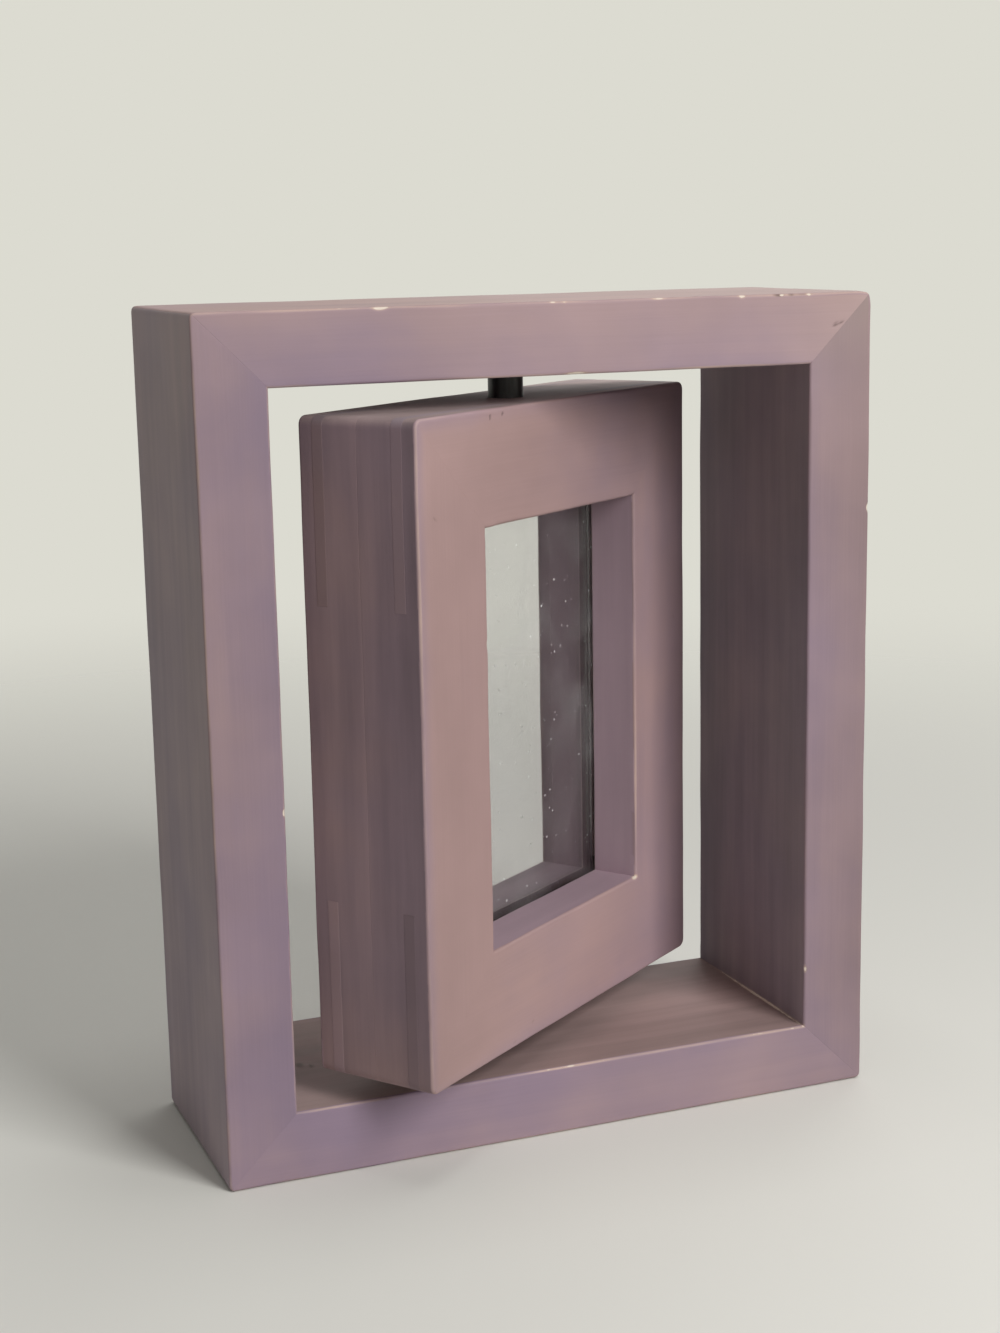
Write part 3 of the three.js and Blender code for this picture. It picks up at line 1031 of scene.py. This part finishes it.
    def dowel_surface(self, side: Side) -> Surface:
        """One dowel: a chamfered profile turned round the vertical axis.

        Args:
            side: top or bottom.

        Returns:
            The dowel in place about the middle of the opening.
        """
        c, r, length = self.dowel_chamfer, self.dowel, self.dowel_length
        near = c * self.DOWEL_ENDS
        between = np.linspace(self.dowel_end, length - self.dowel_end, self.dowel_rows)
        heights = np.concatenate([near, between, length - near[::-1]])
        radii = r - np.clip(c - np.minimum(heights, length - heights), 0.0, c)
        turn = np.linspace(0.0, -2.0 * pi, self.dowel_facets, endpoint=False)
        x, y = radii[:, None] * np.cos(turn), radii[:, None] * np.sin(turn)
        z = np.broadcast_to((heights + self.dowel_start)[:, None], x.shape)
        points = np.stack([x, y, z - (self.height / 2 - self.board)], axis=-1)
        if side is Side.TOP:
            points = points * (1.0, -1.0, -1.0)
        girth = np.linspace(0.0, 2.0 * pi * r, self.dowel_facets + 1)
        return Surface(points, heights[:, None] + DOWELS_APART * side.value, girth)

    def build(self, paint: Material, black: Material, beech: Material) -> None:
        """Makes the boards and dowels, and dresses the biscuits.

        Args:
            paint: finish of the boards.
            black: finish of the dowels.
            beech: finish of the biscuits in the mitres.
        """
        for side in Side:
            board = self.settle(self.board_surface(side))
            name, stands_for = f"board_{side.label}", f"outer_{side.member}"
            fit(board, name, paint, "outer_frame", "outer_paint", stands_for)
        for side in (Side.TOP, Side.BOTTOM):
            dowel = self.settle(self.dowel_surface(side))
            name, stands_for = f"dowel_{side.label}", f"pivot_dowel_{side.label}"
            fit(dowel, name, black, "outer_frame", "black_dowel", stands_for)
        dress([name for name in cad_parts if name.startswith("outer_biscuit")], beech)


@dataclass
class PictureFrame:
    """The swivelling frame: two plies back to back, each mitred and keyed at its corners."""

    window_width: float = 81.0
    window_height: float = 118.0
    ply: float = 18.8
    face: float = 31.5
    arris: float = 0.85
    arris_facets: int = 9
    arris_spread: float = 0.1  # share of it by which sanding varies it
    window_arris: float = 0.8
    window_spread: float = 0.2
    seam_arris: float = 0.05
    corner: float = 2.5
    leaning: float = 6.0  # from the sight corner, where rows begin to lean to the mitre
    rebate_width: float = 5.0
    rebate_depth: float = 4.0
    rebate_arris: float = 0.3
    fine_facets: int = 3  # of the arrises at the seam and the rebate
    # Between columns on the face, the edge before and behind the key, the seam and the sight edge
    steps: tuple[float, ...] = (0.75, 0.7, 1.3, 3.0, 1.5)
    key: float = 3.5
    key_inset: float = 4.5
    key_leg: float = 49.99
    key_proud: float = 0.02
    key_ease: float = 0.05
    key_columns: tuple[int, int] = (42, 30)  # along each leg, and along the slope
    bore: float = 5.1
    bore_depth: float = 12.0
    bore_rows: int = 10  # on each side of its middle
    glue: float = 0.012  # half of the glue line between the plies
    face_thin: float = 0.3  # how thin the top coat is on the faces, above the average
    face_lean: float = -0.45  # painted shade's colour: what is added from the middle of a face to its right end, turning it lilac
    face_rim: float = -0.8  # painted highlight: what is added beside its left arris, which turns it lilac there
    rim_tone: float = 0.06  # and how much lighter that painted highlight is there
    rim: float = 4.0  # how far in from there
    # Painted light and shade on a face, as how much lighter it is than average: to its right, to its top,
    # to its top right (a painted shadow of the outer frame) and bottom left, and along the middle of its
    # bottom
    face_tones: tuple[float, float, float, float] = (0.065, -0.08, -0.15, 0.1)
    face_tone: float = -0.01
    # How much paler dust has made the top, and what is added to its right end as a painted sheen
    top_dust: Pair = (0.4, 0.5)
    top_fade: float = 0.3  # colour that the dust hides
    top_thin: float = 0.6
    face_rubbed: float = 0.6  # share of the outer frame's wear that the arrises have
    sight_rubbed: float = 0.6  # and of that, the window's, and those beside the panes
    # beside the panes the extra wear paints a pale line as a painted highlight on the rebate's arris
    pane_rubbed: float = 2.0
    # How much thinner the top coat is on the outside: behind, what is added towards the front,
    # and what is added at the bottom
    edge_back: float = -0.2
    edge_thin: float = -0.4
    edge_low: float = 0.45
    sight_thin: float = -0.7
    edge_tone: float = -0.12  # how much lighter the paint is on the outside
    edge_shade: float = -0.17  # what is added towards the front
    sight_tone: float = 0.35  # and on the front's sight edges, lighter as painted bounce light
    sight_lean: float = -0.15  # painted shadow: what is added up the upright ones
    sill_tone: float = -0.1  # and painted shade along the sill
    sight_fade: float = 0.3  # colour that the back's sight edges have lost
    face_streaks: float = 0.15  # share of the lap marks that shows on the faces
    groove_dirt: float = 0.9  # the panes' groove is dark: wood left unpainted there, and painted shade in that recess
    middle: float = 118.0  # height of its middle
    key_thin: float = -0.24  # how much thinner the top coat is on the front's keys
    key_tones: dict[str, float] = field(
        default_factory=lambda: {
            "key_front_bottom_left": -0.32, "key_back_bottom_left": 0.0,
            "key_front_top_left": -0.14, "key_back_top_left": -0.21,
        }
    )
    knocks: tuple[Knock, ...] = (
        # white chip at the window's lower right corner, and nicks in its arrises
        Knock((40.0, -18.8, -59.1), (0, 1, 0), (2.2, 1.3, 1.1), 0.3, share=1.2),
        Knock((-40.6, -18.8, 27.4), (-1, 1, 0), (0.9, 0.9, 2.2), 0.2),
        Knock((40.6, -18.8, -26.0), (1, 1, 0), (0.8, 0.8, 34.0), 0.05, share=0.4),
        # the left arris, rubbed where hands turn the frame
        Knock((-72.0, -18.8, 50.0), (1, 1, 0), (1.1, 1.1, 42.0), 0.0, share=0.3),
        # ticks and spots on the face
        Knock((-37.6, -18.8, 88.4), (0, 1, 0), (0.5, 0.6, 1.0), 0.2, Mark.GRIME),
        Knock((-31.4, -18.8, 88.8), (0, 1, 0), (0.5, 0.6, 0.9), 0.2, Mark.GRIME),
        Knock((-64.2, -18.8, 64.3), (0, 1, 0), (0.9, 0.6, 0.6), 0.1, Mark.GRIME, 0.35),
        Knock((-30.8, -18.8, -88.6), (0, 1, 0), (0.6, 0.6, 0.7), 0.12, Mark.GRIME, 0.8),
        Knock((-21.1, -18.8, -86.0), (0, 1, 0), (0.6, 0.6, 0.6), 0.12, Mark.GRIME, 0.4),
        Knock((64.9, -18.8, 18.6), (0, 1, 0), (0.5, 0.6, 0.5), 0.15, Mark.GRIME, 0.4),
        # dirt caught at the end of a key on the left
        Knock((-72.0, -12.6, -40.2), (1, 0, 0), (0.8, 1.9, 2.4), 0.03, Mark.GRIME, 0.5),
    )

    SEAM_LEG = 6  # number of the glued back in the section

    @property
    def half_width(self) -> float:
        """From the middle to the outside of the stiles."""
        return self.window_width / 2 + self.face

    @property
    def half_height(self) -> float:
        """From the middle to the outside of the rails."""
        return self.window_height / 2 + self.face

    def settle(self, surface: Surface) -> Surface:
        """Turns a surface made about the frame's middle to its rest pose in the CAD frame.

        Args:
            surface: a piece with the front ply to the front.

        Returns:
            The same surface, in place.
        """
        x, y, z = np.moveaxis(surface.points, -1, 0)
        c, s = cos(REST_TURN), sin(REST_TURN)
        surface.points = np.stack([c * x - s * y, s * x + c * y, z + self.middle], axis=-1)
        return surface

    def key_slot(self, mitre: Mitre, rows: Array) -> Array:
        """Depth of the slot for the keys at each row, from the outside.

        The slot's floor runs at 45 degrees, so its distances from the member's end and from
        its outside add up to the key's leg. A row at t that leans by q meets the floor at
        (leg - (half - t)) / (1 + q).

        Args:
            mitre: the member's run.
            rows: places of its rows.

        Returns:
            One depth for each row, a hair where there is no slot.
        """
        depth = self.key_leg - (mitre.half - np.abs(rows))
        return np.maximum(depth / (1.0 + mitre.fan(rows)), HAIR)

    def member_surface(self, ply: Ply, side: Side) -> Surface:
        """One member of a ply: its section carried along and cut to its mitres.

        The section's glued back is a track along the member: it steps in by the rebate's
        depth where panes are loaded, and by the half round sqrt(r^2 - x^2) of the socket
        in the middle of a rail, down to the socket's floor.

        Args:
            ply: the ply that it belongs to.
            side: side that it is on, as built for a front ply.

        Returns:
            The member in place about the frame's middle.
        """
        inside = (self.window_width if side.is_rail else self.window_height) / 2
        across = (self.window_height if side.is_rail else self.window_width) / 2
        mitre = Mitre(inside + self.face, self.face, self.corner, inside - self.leaning)
        loads = side is (Side.LEFT if ply.is_back else Side.RIGHT)
        slot_end = self.window_height / 2 + self.rebate_width
        marks = [mitre.half - self.key_leg]
        if side.is_rail:
            round_rows = self.bore * np.sin(np.linspace(0.0, pi / 2, self.bore_rows))
            marks += [self.bore + HAIR, *round_rows]
        if loads:
            marks += [slot_end - HAIR, slot_end + HAIR]
        rows = mitre.rows(marks)
        glued = np.full(len(rows), -self.glue)
        if loads:
            # A few hairs short of the rebate's floor, so that the step down to it keeps its way
            glued[np.abs(rows) < slot_end] = 4.0 * HAIR - self.rebate_depth
        socket = np.sqrt(np.clip(self.bore**2 - rows**2, self.glue**2, None))
        seam = np.minimum(glued, -socket) if side.is_rail else glued

        apart = SIDES_APART * side.value + PLIES_APART * ply.is_back
        columns = self.section(mitre, rows, glued, seam, apart)
        points = mitre.lay(rows, columns.places, -self.ply / 2) + (0.0, 0.0, across)
        points = ply.carry(side.carry(points))
        girth = columns.girth() + BRUSH_APART * (side.value + 0.5 * ply.is_back)
        painted = self.member_paint(ply, side, columns, points)
        return Surface(points, side.along(points), girth, painted).worked(self.knocks)

    def section(self, mitre: Mitre, rows: Array, glued: Array, seam: Array, apart: float) -> Columns:
        """A member's section at every row: face, edge with the keys' slot, seam, rebate, sight edge.

        Args:
            mitre: the member's run.
            rows: places of its rows.
            glued: depth of its glued back at each row, below the socket.
            seam: the same above the socket's floor.
            apart: the member's shift in the field of the sanding.

        Returns:
            The section's columns.
        """
        face_step, before_step, behind_step, seam_step, sight_step = self.steps
        floor = self.face - self.key_slot(mitre, rows)
        key_front = self.key_inset - self.ply - HAIR
        key_back = key_front + self.key + 2.0 * HAIR
        eased = sanded(self.arris, self.arris_spread, rows, apart, 0)
        window = sanded(self.window_arris, self.window_spread, rows, apart, 1)
        drop = self.bore_depth - self.seam_arris
        flat = shares_of(self.face - self.arris - self.window_arris, face_step)
        before = shares_of(self.key_inset - self.arris, before_step)
        behind = shares_of(-self.glue - key_back, behind_step)
        down = shares_of(self.face - self.rebate_width, seam_step, (drop - HAIR, drop + HAIR))
        sight = shares_of(self.ply - self.rebate_depth - self.window_arris, sight_step)
        corners = (
            Corner(-self.ply, 0.0, window, ARRIS_FACETS, flat),
            Corner(-self.ply, self.face, eased, self.arris_facets, before),
            Corner(key_front, self.face),
            Corner(key_front + HAIR, floor),
            Corner(key_back - HAIR, floor),
            Corner(key_back, self.face, shares=behind),
            Corner(seam, self.face, self.seam_arris, self.fine_facets, down),
            Corner(glued, self.rebate_width),
            Corner(-self.rebate_depth, self.rebate_width),
            Corner(-self.rebate_depth, 0.0, self.rebate_arris, self.fine_facets, sight),
        )
        columns = carried(corners, len(rows))
        back = columns.places[:, columns.leg == self.SEAM_LEG]
        below = back[..., 1] < self.face - self.bore_depth
        back[..., 0] = np.where(below, glued[:, None], seam[:, None])
        columns.places[:, columns.leg == self.SEAM_LEG] = back
        return columns

    def member_paint(self, ply: Ply, side: Side, columns: Columns, points: Array) -> dict[str, Array]:
        """How the paint of a member has come out and worn, with painted light and shade, as the fields of
        the class tell.

        Args:
            ply: the ply that it belongs to.
            side: side that it is on, as built for a front ply.
            columns: its section.
            points: its points about the frame's middle.

        Returns:
            The vertex attributes that the paint reads.
        """
        depth, rise = np.moveaxis(columns.places, -1, 0)
        groove = (depth > -self.rebate_depth - HAIR) & (rise < self.rebate_width + HAIR)
        highlit_by_pane = (depth > -self.rebate_depth - self.rebate_arris) & (rise < self.rebate_arris)
        face = depth < self.arris - self.ply
        sight = (rise < self.window_arris) & ~groove
        right = np.sign(-points[..., 1]) * points[..., 0] / self.half_width
        up = points[..., 2] / self.half_height
        low = np.clip(-up, 0.0, 1.0)
        top = self.on_top(points)
        rim = 0.5 * (1.0 - right) * np.exp(-(((self.face - rise) / self.rim) ** 2))

        # Painted light and shade on the faces, a painted highlight beside the left arris, the painted lilac
        # of the shade at the right end, and painted bounce light and shade on the front's sight edges
        ways = np.stack([right, up, right * up, low * (1.0 - right**2)])
        face_tone = self.face_tone + self.rim_tone * rim + np.tensordot(self.face_tones, ways, axes=1)
        # Painted bounce light on the front's sight edges, painted shadow up the stiles and painted shade
        # along the sill
        added = self.sill_tone * (side is Side.BOTTOM) if side.is_rail else self.sight_lean * up
        sight_tone = 0.0 if ply.is_back else self.sight_tone + added
        face_thin = self.face_thin + self.face_lean * right + self.face_rim * rim
        edge_thin = self.edge_back + self.edge_thin * self.to_front(points) + self.edge_low * low**4
        edge_thin = edge_thin + (self.top_thin - edge_thin) * top
        handled_and_highlit = np.where(highlit_by_pane, self.pane_rubbed, np.where(sight, self.sight_rubbed, 1.0))
        # Wear, with the painted highlight beside the panes, and the groove darkened as painted shade
        return {
            "wear": self.face_rubbed * rubbed(columns.arris, points) * handled_and_highlit,
            "grime": self.groove_dirt * groove,
            "tone": np.select([face, sight], [face_tone, sight_tone], self.edge_tones(points)),
            "thin": np.select([face, sight], [face_thin, self.sight_thin], edge_thin),
            "fade": self.top_fade * top * ~face + self.sight_fade * sight * ply.is_back,
            "streaky": np.where(face, self.face_streaks, 1.0),
        }

    def on_top(self, points: Array) -> Array:
        """1 for points on the top, falling to 0 down the round of its corners."""
        return np.clip(1.0 - (self.half_height - points[..., 2]) / self.corner, 0.0, 1.0)

    def to_front(self, points: Array) -> Array:
        """1 for points at the front, falling to 0 at the seam."""
        return np.clip(-points[..., 1] / self.ply, 0.0, 1.0)

    def dust(self, points: Array) -> Array:
        """How much paler each point is: only those on the top, with dust and a painted sheen that grows to
        the right.
        """
        even, end = self.top_dust
        return (even + end * points[..., 0] / self.half_width) * self.on_top(points)

    def edge_tones(self, points: Array) -> Array:
        """How much lighter the outside is at each point than average: darker to the front, and paler on the
        top with dust and a painted sheen.
        """
        return self.edge_tone + self.edge_shade * self.to_front(points) + self.dust(points)

    def key_surface(self, ply: Ply, upper: Side, outer: Side) -> Surface:
        """One key: a right triangle with a rounded corner, carried through its thickness.

        The outline runs up the upright leg, round the corner, in along the level leg and
        back along the slope. At both faces it is drawn in towards the triangle's incentre,
        so that all edges are eased alike.

        Args:
            ply: the ply that it is let into.
            upper: top or bottom.
            outer: right or left, as built for a front ply.

        Returns:
            The key in place about the frame's middle.
        """
        leg, r = self.key_leg - sqrt(2.0) * HAIR, self.corner
        on_leg, on_slope = self.key_columns
        run = np.linspace(r, leg, on_leg)
        turn = np.linspace(0.0, pi / 2, ARRIS_FACETS + 1)[1:-1]
        slope = np.linspace(0.0, leg, on_slope)[1:-1]
        x = np.concatenate([0.0 * run, r * np.cos(turn) - r, -run, slope - leg])
        z = np.concatenate([-run[::-1], r * np.sin(turn) - r, 0.0 * run, -slope])
        # Rows near one face: how far each is drawn in, and how deep it lies, in eases
        drawn, deep = np.array([1.0, 0.3, 0.0, 0.0]), np.array([0.0, 0.3, 1.0, MARGIN / self.key_ease])
        inner, half = leg * (1.0 - sqrt(0.5)), self.key / 2
        drawn = 1.0 - self.key_ease / inner * np.concatenate([drawn, drawn[::-1]])
        deep = self.key_ease * deep - half
        through = np.concatenate([deep, -deep[::-1]]) + self.key_inset + half - self.ply
        x, z = (drawn[:, None] * (part + inner) - inner + self.key_proud for part in (x, z))
        y = np.broadcast_to(through[:, None], x.shape)
        # Clockwise from the top right corner, corners are as many quarter turns from it as
        # the sides top, right, bottom and left are from the top
        is_top, is_right = upper is Side.TOP, outer is Side.RIGHT
        turned = upper if is_top == is_right else outer
        to_right = self.half_width if is_right else -self.half_width
        to_top = self.half_height if is_top else -self.half_height
        points = turned.carry(np.stack([x, y, z], axis=-1)) + (to_right, 0.0, to_top)
        points = ply.carry(points)
        length = np.broadcast_to((x - z)[0], x.shape)
        girth = np.full(x.shape[1] + 1, KEYS_APART * turned.value)
        name = f"key_{ply.value}_{ply.seen(f'{upper.label}_{outer.label}')}"
        painted = {
            "wear": np.zeros(1), "grime": np.zeros(1),
            "tone": self.key_tones.get(name, self.edge_tone) + self.dust(points),
            "thin": np.full(1, 0.0 if ply.is_back else self.key_thin),
            "fade": self.top_fade * self.on_top(points), "streaky": np.ones(1),
        }
        return Surface(points, length, girth, painted).worked(self.knocks)

    def build(self, paint: Material) -> None:
        """Makes both plies and their keys.

        Args:
            paint: finish of all of them.
        """
        rides = (paint, "inner_frame", "inner_paint")
        for ply in Ply:
            for side in Side:
                member = self.settle(self.member_surface(ply, side))
                name, stands_for = ply.seen(side.label), ply.seen(side.member)
                fit(member, f"ply_{ply.value}_{name}", *rides, f"inner_{ply.value}_{stands_for}")
            for upper in (Side.TOP, Side.BOTTOM):
                for outer in (Side.RIGHT, Side.LEFT):
                    key = self.settle(self.key_surface(ply, upper, outer))
                    place = ply.seen(f"{upper.label}_{outer.label}")
                    name, stands_for = f"key_{ply.value}_{place}", f"inner_{ply.value}_key_{place}"
                    fit(key, name, *rides, stands_for)


@dataclass(frozen=True)
class Lamp:
    """A rectangular lamp that faces the object: its place and size in metres, and its watts."""

    name: str
    place: Triple
    size: Pair
    power: float


@dataclass
class Studio:
    """Pale floor, soft light and the camera at the photograph's place."""

    camera: Triple = (-228.33, -568.30, 254.53)
    aim: Triple = (-3.27, 0.0, 130.81)  # in the middle of the picture
    roll: float = -1.09  # of the camera about its line of sight, in degrees
    lens: float = 58.09
    sensor: float = 36.0  # its long side
    clip: Pair = (0.01, 20.0)  # metres
    backdrop: str = "#DCDBD1"
    floor: str = "#DEDDD6"
    floor_reach: Pair = (0.25, 0.95)  # radii in metres between which it fades into the backdrop
    floor_spare: float = 1.1  # its own radius, as a share of the larger one
    floor_gap: float = 0.15  # to the object, so that the two don't touch
    floor_grid: tuple[int, int] = (24, 96)  # its rings, and the angles round them
    white: str = "#FFFDFA"  # of the light from all round
    ambient: float = 0.20  # and its strength
    lamps: tuple[Lamp, ...] = (
        Lamp("key", (0.352, -0.893, 0.695), (0.42, 0.6), 10.2),
        Lamp("above", (0.12, 0.0, 1.7), (0.7, 0.7), 6.0),
        Lamp("behind", (0.8, 0.95, 0.5), (0.9, 0.7), 3.4),
    )
    lit: Triple = (0.0, 0.0, 0.118)  # point in metres that the lamps face

    def point(self, thing: bpy.types.Object, place: Vector, aim: Vector, roll: float = 0.0) -> None:
        """Puts a camera or lamp in its place and points it.

        Args:
            thing: the camera or lamp.
            place: its place in metres.
            aim: what it looks at or lights.
            roll: how far it is turned about the line between them, in degrees.
        """
        level = (aim - place).to_track_quat("-Z", "Y")
        thing.location = place
        thing.rotation_mode = "QUATERNION"
        thing.rotation_quaternion = level @ Quaternion((0.0, 0.0, 1.0), radians(roll))

    def place_camera(self) -> None:
        """Makes the scene's camera."""
        data = bpy.data.cameras.new("camera")
        data.lens, data.sensor_width = self.lens, self.sensor
        data.clip_start, data.clip_end = self.clip
        camera = linked("camera", data)
        self.point(camera, Vector(self.camera) * MM, Vector(self.aim) * MM, self.roll)
        bpy.context.scene.camera = camera

    def lay_floor(self) -> None:
        """Lays a round floor: rings times angles, fading out into the backdrop."""
        rings, angles = self.floor_grid
        fade_start, fade_end = self.floor_reach
        radii = np.linspace(0.0, self.floor_spare * fade_end, rings + 1)[1:, None]
        turn = np.linspace(0.0, 2.0 * pi, angles, endpoint=False)
        x, y = radii * np.cos(turn), radii * np.sin(turn)
        points = np.stack([x, y, np.full(x.shape, -self.floor_gap * MM)], axis=-1)
        index = np.arange(rings * angles).reshape(rings, angles)
        quads = looped(index, np.roll(index, -1, axis=1))[: -2 * angles].reshape(-1, 4)
        mesh = bpy.data.meshes.new("floor")
        mesh.from_pydata(points.reshape(-1, 3).tolist(), [], quads.tolist() + [index[0].tolist()])
        linked("floor", mesh)

        made = bpy.data.materials.new("pale_floor")
        add = partial(node, new_tree(made))
        space = add("TexCoord").outputs["Object"]
        away = add("VectorMath", {0: space}, operation="LENGTH")
        reach = {"Value": away, "From Min": fade_start, "From Max": fade_end}
        fade = add("MapRange", reach, interpolation_type="SMOOTHSTEP")
        paper = {"Base Color": linear(self.floor), "Roughness": 0.9, "Specular IOR Level": 0.1}
        layers = {0: fade, 1: add("BsdfPrincipled", paper), 2: add("BsdfTransparent")}
        add("OutputMaterial", {"Surface": add("MixShader", layers)})
        mesh.materials.append(made)

    def light(self) -> None:
        """Lights the scene: even light from all round, and the lamps."""
        world = bpy.data.worlds.new("studio")
        bpy.context.scene.world = world
        add = partial(node, new_tree(world))
        rays = add("LightPath").outputs
        direct = {0: rays["Is Camera Ray"], 1: rays["Is Glossy Ray"]}
        seen = {0: add("Math", direct, operation="MAXIMUM"), 1: rays["Is Transmission Ray"]}
        seen = add("Math", seen, operation="MAXIMUM")
        even = add("Background", {"Color": linear(self.white), "Strength": self.ambient})
        wall = add("Background", {"Color": linear(self.backdrop), "Strength": 1.0})
        add("OutputWorld", {"Surface": add("MixShader", {0: seen, 1: even, 2: wall})})
        for lamp in self.lamps:
            data = bpy.data.lights.new(lamp.name, "AREA")
            data.shape, data.size, data.size_y, data.energy = "RECTANGLE", *lamp.size, lamp.power
            self.point(linked(lamp.name, data), Vector(lamp.place), Vector(self.lit))
        bpy.context.scene.view_settings.view_transform = "Standard"


def main() -> None:
    """Builds and dresses the frames and the glass, then sets the studio up round them."""
    logging.basicConfig(level=logging.INFO, format="%(name)s: %(message)s")
    studio = Studio()
    studio.place_camera()
    outer_paint = BrushedEggshell("brushed_lilac_eggshell", "#8C7A8B", "#A58C8D").material()
    inner_paint = BrushedEggshell("brushed_dusty_pink_eggshell", "#927D86", "#A38784").material()
    black = BlackedDowel("turned_black_stained_beech", "#1B191A", "#2B2523").material()
    beech = PressedBeech("pressed_beech", "#C9A57C", "#A98257").material()
    glass = DustyFloatGlass("cut_dusty_float_glass", "#CFE2D8").material()
    OuterFrame().build(outer_paint, black, beech)
    PictureFrame().build(inner_paint)
    dress(("glass_front", "glass_back"), glass)
    studio.lay_floor()
    studio.light()


if __name__ == "__main__":
    main()
